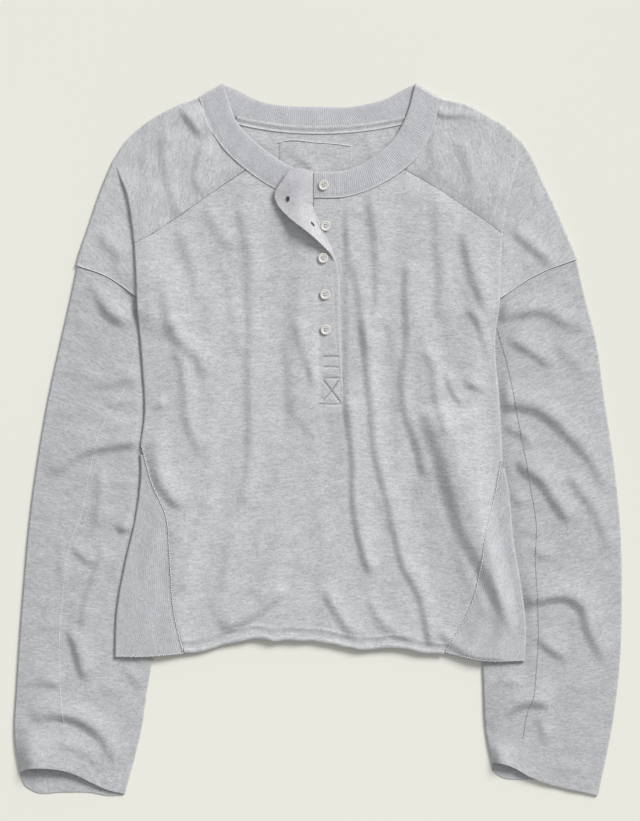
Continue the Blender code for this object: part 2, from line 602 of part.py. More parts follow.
def button_mesh():
    """Turned disc with a raised rim and a dished middle, cut by four thread holes."""
    dish_radius, dish_depth = BUTTON_DISH
    floor = BUTTON_THICK - dish_depth
    profile = [(0, floor), (dish_radius, floor), (dish_radius + 0.5, BUTTON_THICK),
               (BUTTON_RADIUS - 0.4, BUTTON_THICK), (BUTTON_RADIUS, BUTTON_THICK - 0.5),
               (BUTTON_RADIUS - 0.8, 0), (0, 0)]
    mesh = bpy.data.meshes.new("button_profile")
    mesh.from_pydata([(r * MM, 0, z * MM) for r, z in profile],
                     [(k, k + 1) for k in range(len(profile) - 1)], [])
    disc = bpy.data.objects.new("button_disc", mesh)
    bpy.context.scene.collection.objects.link(disc)
    turn = disc.modifiers.new("turn", "SCREW")
    turn.steps = turn.render_steps = 16
    turn.use_merge_vertices = True
    turn.merge_threshold = MERGE

    radius, off = BUTTON_HOLE
    bm = bmesh.new()
    for sx in (-off, off):
        for sy in (-off, off):
            made = bmesh.ops.create_cone(bm, cap_ends=True, segments=6, radius1=radius * MM,
                                         radius2=radius * MM, depth=3 * BUTTON_THICK * MM)
            bmesh.ops.translate(bm, verts=made["verts"], vec=(sx * MM, sy * MM, 0))
    drill_mesh = bpy.data.meshes.new("button_drill")
    bm.to_mesh(drill_mesh)
    bm.free()
    drill = bpy.data.objects.new("button_drill", drill_mesh)
    bpy.context.scene.collection.objects.link(drill)
    cut = disc.modifiers.new("holes", "BOOLEAN")
    cut.object = drill
    evaluated = disc.evaluated_get(bpy.context.evaluated_depsgraph_get())
    made = bpy.data.meshes.new_from_object(evaluated)
    bpy.data.objects.remove(disc)
    bpy.data.objects.remove(drill)
    made.materials.clear()
    made.materials.append(material("button"))
    made.shade_smooth()
    return made


def make_buttons(collection):
    mesh = button_mesh()
    for number, (x, y, sewn_to) in enumerate(BUTTONS, start=1):
        top = {"front": front_z(x, y, "right") + JERSEY / 2,
               "stand": stand_z(y) + DOUBLED / 2,
               "collar": front_z(x, y - 12, "left") + RIB + COLLAR_TILT / 2}[sewn_to]
        obj = bpy.data.objects.new(f"button_{number}", mesh)
        obj.location = (x * MM, y * MM, (float(top) + ON_TOP) * MM)
        collection.objects.link(obj)


def main():
    for obj in list(bpy.data.objects):
        bpy.data.objects.remove(obj)
    collection = bpy.data.collections.new("henley_shirt")
    bpy.context.scene.collection.children.link(collection)
    make_back(collection)
    make_front(collection)
    for side, sign in (("right", 1), ("left", -1)):
        make_yoke(side, sign, collection)
        make_gusset(side, sign, collection)
        make_sleeve(side, sign, collection)
    make_collar(collection)
    make_tape(collection)
    make_patch(collection)
    make_stand(collection)
    make_facing(collection)
    make_buttons(collection)


main()
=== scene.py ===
"""Looks of the henley shirt: fine cloth shells, folds, seams, stitches, buttons and their materials.

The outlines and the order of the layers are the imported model's own, repeated here at a finer step. Sizes are
in millimetres and MM turns them into metres. "Right" and "left" are the wearer's, so right is -X.
"""
import math
from collections import namedtuple

import bmesh
import bpy
import numpy as np
from mathutils import Matrix, Vector, noise


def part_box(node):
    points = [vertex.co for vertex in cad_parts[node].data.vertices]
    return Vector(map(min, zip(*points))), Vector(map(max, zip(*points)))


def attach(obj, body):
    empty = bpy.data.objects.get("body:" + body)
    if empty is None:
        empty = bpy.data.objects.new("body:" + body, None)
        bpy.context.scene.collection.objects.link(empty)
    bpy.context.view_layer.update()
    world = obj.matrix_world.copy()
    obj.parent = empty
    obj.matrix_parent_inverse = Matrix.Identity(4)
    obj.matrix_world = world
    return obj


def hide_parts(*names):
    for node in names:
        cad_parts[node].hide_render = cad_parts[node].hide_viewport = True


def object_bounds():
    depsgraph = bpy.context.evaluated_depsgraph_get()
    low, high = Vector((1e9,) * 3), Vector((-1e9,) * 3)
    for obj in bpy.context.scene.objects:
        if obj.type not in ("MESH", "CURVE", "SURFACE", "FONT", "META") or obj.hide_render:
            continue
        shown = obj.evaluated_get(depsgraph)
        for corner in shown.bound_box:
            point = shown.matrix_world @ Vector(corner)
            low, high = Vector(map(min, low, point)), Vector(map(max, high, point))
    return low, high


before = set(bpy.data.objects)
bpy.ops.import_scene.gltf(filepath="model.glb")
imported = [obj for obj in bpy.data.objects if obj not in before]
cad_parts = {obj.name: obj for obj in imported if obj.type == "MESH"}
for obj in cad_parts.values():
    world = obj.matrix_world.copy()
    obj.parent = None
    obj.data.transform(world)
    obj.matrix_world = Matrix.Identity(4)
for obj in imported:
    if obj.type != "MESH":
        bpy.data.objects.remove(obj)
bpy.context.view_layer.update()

MM = 0.001
MERGE = 1e-5         # metres
UV_SCALE = 0.001     # the grain map holds metres along and across the knit

# Walls and clearances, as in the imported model
JERSEY = 1.2
DOUBLED = 1.6
AIR = 0.9
SEAM = 0.6
BACK_INSET = 3.0
LAYER = JERSEY + AIR
BACK_Z = JERSEY / 2
TUCK = 4.0
SLEEVE_STACK = 3.3
PLEAT = 4.0
PLACKET_STACK = 2.0
NECK_RISE = 1.4
PUFF = 1.6

# Rib knit
RIB_PITCH = 1.95
RIB_DEPTH = 0.4

# Sizes of the panels that set how many rows and columns their grids have
FRONT_WIDE, FRONT_LONG = 165, 420
BACK_WIDE, BACK_LONG = 500, 470
YOKE_WIDE, YOKE_LONG = 105, 78
GUSSET_LONG = 205
SLEEVE_WIDE, SLEEVE_LONG = 125, 500.0
STAND_WIDE, STAND_LONG = 26, 190
FLAP_WIDE, FLAP_LONG = 38, 92

# Parts that the stretches of a panel's edge take of it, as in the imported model
YOKE_PART, NECK_PART = 7, 8
SLIT_PART, BELOW_PART = 8, 10
SIDE_PART, GUSSET_PART = 9, 9
ARMHOLE_PART, BELOW_ARM_PART = 3, 17
CREASE_PART, BELOW_CREASE_PART = 5, 4

# Fine steps
STEP = 2.3                   # grid of the big panels
FINE_STEP = 1.6              # grid of the small ones
FINEST = 0.85                # grid where stitching shows
SEAM_ROWS = (0.5, 1.1, 1.9)  # extra rows beside a sewn or folded edge
SEAM_DIP = 0.36              # how far a panel sinks into its seam
PUCKER = 0.22                # ripples that a seam draws up
PUCKER_PITCH = 6.5
DRIFT = 0.35                 # slow unevenness of cloth that lies loose

HEM_WAVES = [(-131, 10, 3.0), (-42, 5, -1.6), (-60, 10, 1.4), (-25, 8, 0.8), (60, 8, -1.0),
             (90, 9, 0.9)]   # x, half width, height
HEM_ROLL_WIDTH = 2.4
HEM_ROLL_RADIUS = 0.9
HEM_LINE = 9.5          # from the hem's edge to the line where its turning ends
HEM_ROWS = 24           # rows of the front's grid that the turned hem shapes

DRAPE = 1.5             # height of the long soft folds
DRAPE_FAN = 0.0005      # how the long folds spread towards the hem, for each millimetre down

SIDES = (("right", 1), ("left", -1))    # each side, and the way from its edge to the middle

# Outlines, columns x, y
SHOULDER = {
    "right": [(-115, 329), (-131, 322), (-161, 306), (-184, 286), (-196, 268)],
    "left": [(117, 328), (141, 321), (161, 311), (179, 300), (196, 284)],
}
DROP_EDGE = {
    "right": [(-196, 268), (-205, 247), (-212, 228), (-221, 201), (-228, 181), (-232, 167)],
    "left": [(196, 284), (204, 271), (211, 255), (224, 228), (236, 201), (248, 173)],
}
CREASE = {
    "right": [(-196, 268), (-189, 252), (-183, 236), (-179, 214), (-176, 190), (-174, 160), (-173, 136)],
    "left": [(196, 284), (190, 265), (185, 245), (179, 218), (176, 200), (174, 165), (173, 135)],
}
YOKE_SEAM = {
    "right": [(-70, 260), (-91, 246), (-109, 234), (-137, 214), (-163, 197), (-176, 190)],
    "left": [(84, 260), (104, 249), (125, 236), (147, 221), (164, 209), (176, 200)],
}
BODY_EDGE = {
    "right": [(-176, 190), (-174, 160), (-173, 132), (-168, 72), (-166, 22), (-170, -6)],
    "left": [(176, 200), (174, 165), (173, 132), (169, 100), (173, 36), (176, -20)],
}
GUSSET_SEAM = {
    "right": [(-170, -6), (-160, -42), (-147, -72), (-143, -112), (-139, -165), (-130, -206)],
    "left": [(176, -20), (169, -58), (162, -86), (155, -129), (149, -154), (122, -205)],
}
GUSSET_EDGE = {
    "right": [(-170, -6), (-169, -31), (-174, -74), (-185, -123), (-192, -163), (-194, -209)],
    "left": [(176, -20), (182, -53), (186, -96), (193, -138), (198, -180), (197, -213)],
}
COLLAR_SEAM = {
    "right": [(-115, 329), (-110, 311), (-101, 295), (-81, 269), (-70, 260), (-56, 250), (-41, 241),
              (-11, 229)],
    "left": [(117, 328), (114, 309), (106, 291), (94, 271), (84, 260), (63, 247), (45, 239), (20, 233)],
}
HEM = {
    "right": [(-130, -206), (-108, -201), (-86, -194), (-62, -191), (-20, -192), (5, -193), (22, -197)],
    "left": [(122, -205), (98, -203), (72, -198), (38, -200), (22, -197)],
}
GUSSET_HEM = {
    "right": [(-130, -206), (-164, -209), (-194, -209)],
    "left": [(122, -205), (159, -213), (197, -213)],
}
PLACKET_EDGE = [(-11, 229), (-1, 211), (6, 196), (13, 181), (17, 168), (19, 120), (22, 60), (24, 36)]
STAND_SEAM = [(20, 233), (21, 190), (21, 120), (24, 60), (24, 36)]
CENTRE_BELOW = [(24, 36), (26, -60), (24, -140), (22, -197)]
SLEEVE = {
    "right": [(-232, 167, -96, 95), (-239, 134, -104, 68), (-248, 94, -113, 34), (-259, 44, -122, -6),
              (-269, -13, -131, -52), (-277, -70, -139, -98), (-284, -147, -151, -160),
              (-290, -233, -165, -238), (-292, -289, -174, -292), (-287, -320, -187, -341)],
    "left": [(248, 173, 112, 103), (257, 134, 120, 72), (266, 100, 126, 44), (275, 39, 135, -8),
             (284, -21, 143, -60), (290, -78, 150, -112), (292, -151, 156, -176), (290, -215, 159, -226),
             (284, -267, 161, -272), (269, -342.6, 168, -314)],
}
SLEEVE_WALL = 1.1
SLEEVE_AIR = 0.6
SLEEVE_PUFF = 0.8
SLEEVE_BOW = 4.5      # how far the armhole seam bows up from a straight line

BACK_NECK = [(-104, 314), (-79, 309), (-45, 302), (2, 299), (60, 304), (83, 309), (104, 314)]
BACK_HEM = [(-120, -200), (-60, -188), (5, -189), (40, -195), (120, -201)]

# Cuff mouths, each a curve of how far across the cuff and how far in mm: the front edge is drawn back, the
# back edge reaches on, and the mouth stands open
Mouth = namedtuple("Mouth", "front back open")
MOUTH = {
    "right": Mouth([(0, 0), (0.06, 4.2), (0.28, 9.8), (0.5, 9.6), (0.68, 4.6), (0.84, 0.6), (1, 0)],
                   [(0, -4), (0.03, -11), (0.14, -16), (0.4, -11), (0.68, -5.5), (0.84, -5.0), (1, -1)],
                   [(0, 0.6), (0.12, 10.5), (0.28, 8.5), (0.5, 3.6), (0.78, 1.2), (1, 0)]),
    "left": Mouth([(0, 0), (0.66, 0), (0.81, 4.4), (0.92, 5), (1, 3)],
                  [(0, 0), (0.4, -1.2), (0.6, -2.4), (0.77, -6.5), (0.91, -8.4), (1, -5)],
                  [(0, 0), (0.6, 1.2), (0.8, 4.6), (0.92, 7.5), (1, 0.6)]),
}
GUSSET_TIP = 0.04
MOUTH_REACH = 0.12
CUFF_WIDTH = 104
CollarRow = namedtuple("CollarRow", "seam_x seam_y free_x free_y place")
COLLAR = [
    CollarRow(-14, 232, -11, 259, "front"),
    CollarRow(-41, 242, -26, 263, "front"),
    CollarRow(-70, 261, -53, 281, "front"),
    CollarRow(-92, 282, -76, 303, "front"),
    CollarRow(-109, 311, -86, 326, "front"),
    CollarRow(-114, 328, -91, 342, "fold"),
    CollarRow(-98, 317.5, -82, 339, "back"),
    CollarRow(-79, 310.5, -62, 329, "back"),
    CollarRow(-45, 303.5, -40, 323, "back"),
    CollarRow(2, 300.5, 2, 321, "back"),
    CollarRow(60, 305.5, 44, 323, "back"),
    CollarRow(83, 310.5, 66, 329, "back"),
    CollarRow(101, 317.5, 85, 339, "back"),
    CollarRow(116, 327, 93, 342, "fold"),
    CollarRow(113, 309, 88, 322, "front"),
    CollarRow(94, 272, 73, 291, "front"),
    CollarRow(63, 248, 52, 272, "front"),
    CollarRow(30, 235, 28, 260, "front"),
    CollarRow(-6, 233, -4, 258, "front"),
]
CREASE_UNDER = 2.4    # how far the cloth runs back under the crease
COLLAR_HALF = 1.15    # half the thickness of the doubled band
COLLAR_LAP = 0.9      # how far the band's seam edge laps over the panels
COLLAR_TILT = 1.2     # how much its free edge stands above its seam
COLLAR_TURN = 0.07    # how far its turns at the shoulders are drawn in
COLLAR_SHARES = (0.0, 0.03, 0.07, 0.12, 0.18, 0.26, 0.36, 0.48, 0.60, 0.72, 0.82, 0.90, 0.95, 0.985, 1.0)
TAPE_PROFILE = [(2.2, 0.0), (1.6, 0.45), (0.6, 0.8), (-0.6, 0.8), (-1.8, 0.5), (-3.0, 0.15), (-3.9, 0.05),
                (-4.4, 0.25), (-4.75, 0.8), (-5.2, 1.0), (-5.7, 0.8), (-5.95, 0.2), (-5.9, -0.5)]  # off, up
TAPE_ENDS = (0.10, 0.91)
TAPE_FALL = 0.55         # how much lower it lies on the back than on the band
TAPE_PIPING_TOP = 2.5    # height of the crest of the tape's piping
TAPE_PIPING_OFF = 5.3    # how far the crest lies below the seam
# The pale edge beads are painted highlight on the raised seam edges.
EDGE_HIGHLIGHT = 0.36       # half the width of the seams' pale edges
PATCH_X = (-37, 32)
PATCH_Y = (286, 254)
PATCH_STITCHES = [[(-38, 285.5), (-33, 287), (-2, 286.4), (20, 286.4), (32, 286)],    # top, then its sides
                  [(-37, 284), (-37, 270), (-36, 256)], [(31, 284), (31, 270), (31, 256)]]
PATCH_SINK = 0.38     # how far its side edges are sewn down into the back
STAND_LEFT = -6
FLAP_FOLD = [(15, 173), (12, 181), (4.6, 193.6), (-3, 207), (-6.5, 222), (-7, 236), (-7, 259)]
FLAP_EDGE = [(15, 173), (12, 178.6), (5.3, 185.5), (-8.9, 198.2), (-20.8, 207.4), (-30.7, 216), (-39.5, 227),
             (-42, 235), (-40.6, 240.6)]
FLAP_TOP = [(-7, 259), (-17, 261), (-26, 260), (-34, 250), (-40.6, 240.6)]
FLAP_WALL = 1.5
FLAP_STANDS = ([0, 0.12, 0.3, 0.5, 0.68, 0.84, 1.0], [0.2, 2.6, 7.6, 9.2, 5.6, 2.2, 1.2])  # share, how high
FLAP_CLEAR = 2.9     # how much the collar band under the top of the flap raises it
HOLE_SIDES = 24
BUTTONHOLES = [((-29.4, 231.4), (3.0, 1.9), 78), ((-5.4, 207.4), (3.0, 1.0), -52)]  # middle, half sizes, turn
BUTTON_TURNS = (17, -8, 24, 5, -14)    # degrees, from the top button down
BUTTON_PROFILE = [(0, 1.45), (2.9, 1.5), (3.3, 1.6), (3.6, 1.85), (4.0, 2.02), (4.4, 2.0), (4.75, 1.8),
                  (4.95, 1.45), (4.85, 1.0), (4.4, 0.5), (3.6, 0.12), (0, 0)]    # radius and height
THREAD_HOLE = 0.65      # radius of a button's holes
HOLE_OFF = 1.1          # how far they lie from its middle lines

# Folds. The path runs down the middle of the fold's steep side, and the cloth stands higher to its left.
# Columns path, half the width of the steep side, how far the soft side runs out, height
Fold = namedtuple("Fold", "path steep soft height")
FOLD_FADE = 15       # the length over which each end of a fold dies out
FRONT_FOLDS = [
    # wearer's right half
    Fold([(-140, 214), (-134, 195), (-128, 178), (-122, 158), (-118, 128)], 6, 12, 2.5),
    Fold([(-114, 230), (-106, 212), (-98, 198), (-89, 187), (-84, 176)], 5.5, 11, 2.8),
    Fold([(-95, 172), (-88, 150), (-84, 124), (-79, 98), (-74, 76)], 5, 9, 1.5),
    Fold([(-78, 230), (-74, 202), (-69, 180), (-69, 134), (-67, 103), (-69, 71), (-68, 15), (-70, -34),
          (-78, -66)],
         4.5, 15, 3.0),
    Fold([(-154, 166), (-152, 145), (-147, 121), (-140, 100)], 6, 14, 2.8),
    Fold([(-149, 122), (-142, 103), (-132, 90), (-117, 76), (-115, 56)], 6, 13, 5.0),
    Fold([(-142, 92), (-133, 68), (-130, 42), (-127, 12), (-121, -2), (-119, -16)], 4.5, 13, 3.3),
    Fold([(-26, 122), (-20, 98), (-14, 78), (-7, 60), (0, 40)], 4.6, 13, 2.3),
    Fold([(-36, 96), (-30, 62), (-29, 36), (-16, 14), (-2, -4)], 5, 12, 1.2),
    Fold([(-171, 8), (-162, -24), (-154, -43), (-144, -57), (-131, -70)], 5, 17, 5.4),
    Fold([(-176, 29), (-160, 30), (-140, 34)], 4, 10, 4.2),
    Fold([(-96, -186), (-76, -178), (-61, -170), (-48, -160), (-35, -149), (-27, -138)], 5, 13, 6.0),
    Fold([(-108, -48), (-114, -72), (-122, -96), (-131, -134), (-134, -152)], 4.5, 13, 2.4),
    Fold([(-84, -76), (-90, -112), (-96, -144), (-103, -176)], 6, 16, 1.9),
    Fold([(-38, -70), (-43, -98), (-50, -124), (-70, -152)], 6, 16, 1.6),
    Fold([(-144, -72), (-142, -104), (-150, -130)], 6, 12, 1.7),
    Fold([(2, -140), (13, -162), (23, -178), (38, -194)], 5.6, 12, 3.6),
    Fold([(0, -60), (-7, -96), (-22, -128)], 8, 16, 1.7),
    # wearer's left half
    Fold([(27, 240), (32, 226), (39, 208)], 2.6, 7, 1.0),
    Fold([(22, 212), (28, 180), (36, 148), (42, 108), (45, 80)], 5, 13, 2.2),
    Fold([(41, 122), (46, 66), (50, 25), (53, -9), (60, -40), (69, -73), (75, -100), (81, -124), (93, -143),
          (101, -169), (107, -204)], 4.6, 13, 3.9),
    Fold([(41, 250), (48, 226), (53, 192), (55, 158), (54, 130), (48, 104)], 5, 13, 2.9),
    Fold([(109, 262), (111, 228), (112, 190), (115, 152), (113, 112)], 5, 15, 2.6),
    Fold([(84, 176), (83, 140), (84, 100), (80, 56), (83, 24), (93, -4), (102, -42)], 5, 14, 3.9),
    Fold([(64, 118), (72, 84), (76, 44), (74, 8)], 6, 10, 1.3),
    Fold([(136, 204), (141, 178), (147, 156), (156, 134), (163, 116)], 5.4, 15, 4.0),
    Fold([(140, 128), (153, 112), (159, 92), (168, 73), (186, 60)], 4.2, 11, 4.2),
    Fold([(98, 92), (108, 70), (111, 44), (117, 18), (122, 0)], 5.5, 11, 3.2),
    Fold([(120, 70), (128, 46), (140, 28)], 3.6, 9, 2.4),
    Fold([(136, 54), (151, 50), (163, 44), (176, 28)], 4, 10, 4.0),
    Fold([(99, 32), (106, 10), (116, -22), (128, -63), (137, -92), (152, -118), (166, -144), (181, -171),
          (196, -196)], 7.5, 30, 5.6),
    Fold([(124, -80), (134, -112), (150, -150), (164, -178)], 8, 9, 2.0),
    Fold([(104, 22), (130, -48), (158, -114), (188, -192)], 18, 44, 6.6),
    Fold([(24, 44), (28, 18), (32, -18), (33, -64), (39, -99), (50, -134)], 4, 12, 4.0),
    Fold([(50, -46), (60, -64), (72, -96)], 5, 7, 1.6),
    Fold([(44, -150), (64, -182), (96, -196)], 5, 10, 2.6),
    Fold([(92, -30), (94, -50), (90, -74)], 5, 10, 1.2),
    Fold([(160, -34), (164, -58), (172, -84)], 6, 10, 1.4),
    Fold([(178, -118), (186, -138), (189, -160)], 4, 8, 1.4),
    Fold([(112, -180), (128, -198), (152, -212), (186, -214)], 4.5, 10, 3.0),
]
YOKE_FOLDS = {
    "right": [
        Fold([(-140, 326), (-130, 313), (-121, 301), (-112, 286)], 4.4, 20, 4.9),
        Fold([(-112, 292), (-117, 272), (-120, 254), (-116, 232)], 4.5, 11, 2.6),
        Fold([(-148, 304), (-151, 276), (-148, 252), (-141, 228), (-138, 206)], 5, 14, 2.6),
        Fold([(-128, 262), (-130, 240), (-128, 222)], 5, 10, 1.2),
        Fold([(-172, 284), (-166, 250), (-160, 222)], 6, 12, 1.2),
    ],
    "left": [
        Fold([(104, 318), (122, 311), (144, 312), (170, 303)], 3.6, 10, 3.2),
        Fold([(104, 312), (107, 286), (109, 258)], 5, 12, 2.0),
        Fold([(122, 292), (136, 276), (144, 256), (148, 236)], 6, 13, 1.5),
        Fold([(172, 264), (169, 242), (170, 222)], 5, 12, 1.6),
    ],
}
DROP_FOLDS = {
    "right": [
        Fold([(-218, 202), (-205, 188), (-196, 178), (-184, 168)], 7, 14, 3.2),
        Fold([(-198, 178), (-194, 162), (-188, 150)], 5, 10, 1.6),
    ],
    "left": [
        Fold([(182, 204), (197, 190), (213, 177), (226, 164)], 5, 13, 4.2),
        Fold([(210, 262), (208, 238), (214, 220)], 6, 12, 1.4),
        Fold([(176, 196), (178, 180), (174, 166)], 4, 8, 1.4),
    ],
}
SLEEVE_FOLDS = {
    "right": [
        Fold([(-226, 158), (-214, 140), (-205, 122), (-194, 114), (-180, 109)], 5.5, 17, 6.8),
        Fold([(-234, 162), (-222, 154), (-212, 148)], 4, 8, 2.0),
        Fold([(-236, 116), (-226, 108)], 5, 9, 2.0),
        Fold([(-250, 68), (-232, 62), (-216, 64)], 5, 12, 1.8),
        Fold([(-220, 47), (-204, 52), (-186, 55), (-168, 58)], 5, 12, 2.8),
        Fold([(-212, 34), (-196, 32), (-172, 38)], 5, 9, 2.0),
        Fold([(-260, 30), (-240, 24), (-222, 30)], 6, 12, 1.5),
        Fold([(-212, 8), (-196, 9), (-176, 17)], 4, 9, 1.8),
        Fold([(-266, -34), (-246, -29), (-232, -17), (-216, -11), (-196, -8), (-176, -5),
              (-152, 2)], 4.6, 21, 6.2),
        Fold([(-214, -26), (-212, -46), (-214, -64), (-218, -90)], 4.6, 12, 2.8),
        Fold([(-206, -46), (-194, -44), (-174, -46)], 6, 9, 2.6),
        Fold([(-199, -80), (-189, -87), (-179, -86), (-169, -79), (-157, -68)], 4.4, 14, 6.8),
        Fold([(-242, -98), (-234, -108), (-222, -118), (-210, -122)], 4, 10, 3.0),
        Fold([(-209, -96), (-213, -116), (-220, -140), (-227, -162), (-229, -188)], 4, 11, 2.8),
        Fold([(-250, -90), (-250, -116), (-250, -146)], 4, 10, 1.7),
        Fold([(-272, -182), (-256, -183), (-240, -178)], 5, 10, 2.4),
        Fold([(-244, -180), (-236, -198), (-231, -216), (-225, -236)], 3.8, 15, 5.4),
        Fold([(-200, -206), (-190, -217), (-179, -231), (-165, -250)], 4.4, 17, 4.4),
        Fold([(-216, -232), (-200, -244), (-184, -250)], 5, 10, 2.0),
        Fold([(-296, -240), (-280, -237), (-264, -235), (-246, -240)], 4, 14, 4.2),
        Fold([(-280, -275), (-262, -268), (-243, -269), (-226, -276), (-212, -288), (-200, -305),
              (-194, -316)],
             6, 17, 7.0),
        Fold([(-292, -279), (-276, -285)], 4, 8, 2.6),
        Fold([(-256, -298), (-240, -304), (-220, -312), (-204, -320)], 3.6, 8, 2.2),
        Fold([(-244, -278), (-246, -292), (-254, -306)], 5, 8, 1.8),
        Fold([(-184, -262), (-180, -276), (-186, -292)], 5, 9, 1.8),
    ],
    "left": [
        Fold([(164, 112), (176, 116), (198, 121), (222, 120), (238, 110), (256, 106),
              (266, 102)], 6, 18, 6.8),
        Fold([(218, 154), (232, 152), (246, 148)], 6, 9, 3.2),
        Fold([(234, 128), (246, 136)], 4, 8, 1.4),
        Fold([(178, 98), (192, 90), (208, 80), (226, 66)], 4.4, 17, 4.4),
        Fold([(222, 92), (238, 80), (252, 64), (268, 58)], 7, 12, 3.0),
        Fold([(170, 28), (190, 31), (210, 27), (226, 16), (240, 2), (256, -15), (268, -34),
              (276, -52)], 5.4, 21, 6.8),
        Fold([(174, 14), (186, 8), (199, 0), (202, -14)], 4, 9, 3.2),
        Fold([(176, -16), (179, -28), (186, -38)], 3.6, 8, 3.4),
        Fold([(184, -18), (198, -30), (214, -42), (224, -58), (234, -72), (242, -84)], 4.8, 18, 6.2),
        Fold([(236, -32), (250, -50), (262, -66), (272, -88), (280, -114)], 5, 18, 5.2),
        Fold([(180, -54), (190, -60), (204, -62)], 5, 9, 3.2),
        Fold([(220, 56), (234, 42), (252, 34)], 7, 12, 1.4),
        Fold([(262, 4), (270, -2), (276, -16)], 6, 10, 1.6),
        Fold([(200, -98), (208, -108), (216, -114), (236, -104)], 5, 10, 2.8),
        Fold([(190, -84), (206, -92), (222, -96)], 4, 8, 1.6),
        Fold([(192, -176), (202, -160), (216, -156), (240, -154), (252, -162), (257, -180), (264, -196),
              (276, -218)],
             5, 18, 6.8),
        Fold([(206, -188), (216, -198), (230, -208), (242, -212)], 4.6, 14, 4.6),
        Fold([(262, -224), (250, -232), (240, -246)], 5, 9, 1.6),
        Fold([(166, -286), (178, -268), (192, -258), (208, -255), (226, -260)], 5, 17, 7.0),
        Fold([(208, -262), (214, -278), (217, -296)], 5, 9, 3.0),
        Fold([(168, -232), (182, -236), (200, -234)], 4, 9, 3.0),
        Fold([(224, -316), (246, -320), (268, -328)], 5, 9, 2.0),
        Fold([(236, -300), (252, -302), (268, -294)], 6, 9, 1.6),
    ],
}
BACK_FOLDS = [
    Fold([(-60, 60), (-66, -10), (-60, -90)], 6, 16, 0.5),
    Fold([(50, 120), (58, 30), (54, -60)], 6, 16, 0.5),
    Fold([(-120, 20), (-112, -60)], 6, 14, 0.4),
    Fold([(110, -20), (120, -100)], 6, 14, 0.4),
]

NECK_FOLDS = [
    Fold([(-76, 300), (-66, 290), (-56, 282), (-40, 276)], 4, 9, 1.5),
    Fold([(-36, 282), (-22, 272), (-10, 262), (-2, 246)], 4, 9, 1.3),
    Fold([(36, 298), (44, 288), (50, 276), (58, 262)], 4, 9, 1.6),
    Fold([(64, 296), (68, 284), (66, 272)], 4, 9, 1.3),
]

# Topstitching and seams, in the order they are sewn
SLEEVE_SEAM = {
    "right": [(-173, 106), (-181, 67), (-190, 43), (-201, 26), (-210, 9), (-220, -27), (-229, -73),
              (-238, -96), (-247, -157), (-250, -213), (-243, -293)],
    "left": [(172, 108), (176, 94), (183, 68), (190, 32), (195, 6), (204, -44), (210, -83), (209, -113),
             (211, -155), (212, -191), (210, -221), (207, -248), (202, -261), (197, -288)],
}
SHALLOW = 0.5                # stitching that lies no deeper than this hardly shows
PLACKET_LINES = [            # stitched lines of the placket, and how deep each lies
    ([(4, 80.2), (12, 80.6), (20.3, 80.2)], 1.0),
    ([(4, 70.2), (12, 70.4), (20.3, 70.0)], 0.85),
    ([(4, 59.6), (12, 59.8), (21, 59.6)], 0.9),
    ([(-1, 35.0), (12, 34.4), (22.5, 34.8)], 0.8),
    ([(4, 58.6), (12.6, 47.6), (22, 35.2)], 1.1),
    ([(19.6, 57.6), (12.6, 47.6), (4, 37.0)], 1.3),
    ([(3.4, 80), (3.2, 58), (3.0, 36)], 0.2),
    ([(14.4, 168), (15.4, 140), (16.6, 110), (18.4, 84), (20.4, 60), (21.8, 37)], 0.3),
]

# Colours, linear
HEATHER = (0.525, 0.530, 0.540)
RIB_GREY = (0.560, 0.562, 0.585)
# The sleeves' grey is the jersey's colour a little darker: painted shade for the dimmer light on the sleeves.
SLEEVE_SHADED_GREY = (0.481, 0.487, 0.499)
GUSSET_GREY = (0.503, 0.510, 0.525)
BAND_GREY = (0.552, 0.549, 0.574)
FACING_GREY = (0.572, 0.569, 0.582)
THREAD = (0.74, 0.74, 0.75)
BUTTON_CREAM = (0.68, 0.665, 0.635)
FLOOR_COLOR = (0.815, 0.805, 0.735)
MOTTLE = 0.12 * 0.4          # how much soft patches of the cloth differ from its colour
CLOTH_ROUGH = (0.86, 0.98)

# Camera, in metres but for the sensor
CAMERA_AT = (0.0016, 0.0283, 3.4)
VIEW_HEIGHT = 0.788
SENSOR = 36.0

# Light
SKY = 0.45
KEY = 2.9
KEY_SPREAD = 24
KEY_AZIMUTH = 48     # degrees from +X towards +Y
KEY_HEIGHT = 37


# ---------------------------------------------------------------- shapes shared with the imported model
def smooth(low, high, value):
    """0 below low, 1 above high, and a soft step between them."""
    t = np.clip((np.asarray(value, dtype=float) - low) / (high - low), 0.0, 1.0)
    return t * t * (3.0 - 2.0 * t)


def fractions(count):
    return np.linspace(0, 1, count + 1)


def along(points, shares):
    """Points at shares of the length of the smooth curve through the rows of points."""
    rows = np.array(points, dtype=float)
    reach = np.concatenate([[0.0], np.cumsum(np.linalg.norm(np.diff(rows[:, :2], axis=0), axis=1))])
    slope = np.gradient(rows, reach, axis=0)
    at = np.atleast_1d(shares) * reach[-1]
    i = np.clip(np.searchsorted(reach, at, side="right") - 1, 0, len(reach) - 2)
    span = (reach[i + 1] - reach[i])[:, None]
    f = (at - reach[i])[:, None] / span
    return ((2 * f**3 - 3 * f**2 + 1) * rows[i] + (f**3 - 2 * f**2 + f) * span * slope[i]
            + (3 * f**2 - 2 * f**3) * rows[i + 1] + (f**3 - f**2) * span * slope[i + 1])


def length(points):
    rows = np.asarray(points, float)[:, :2]
    return float(np.linalg.norm(np.diff(rows, axis=0), axis=1).sum())


def join(*curves):
    """One run of points from several, without repeating the points where they meet."""
    rows = list(curves[0])
    for curve in curves[1:]:
        rows += list(curve)[1:]
    return rows


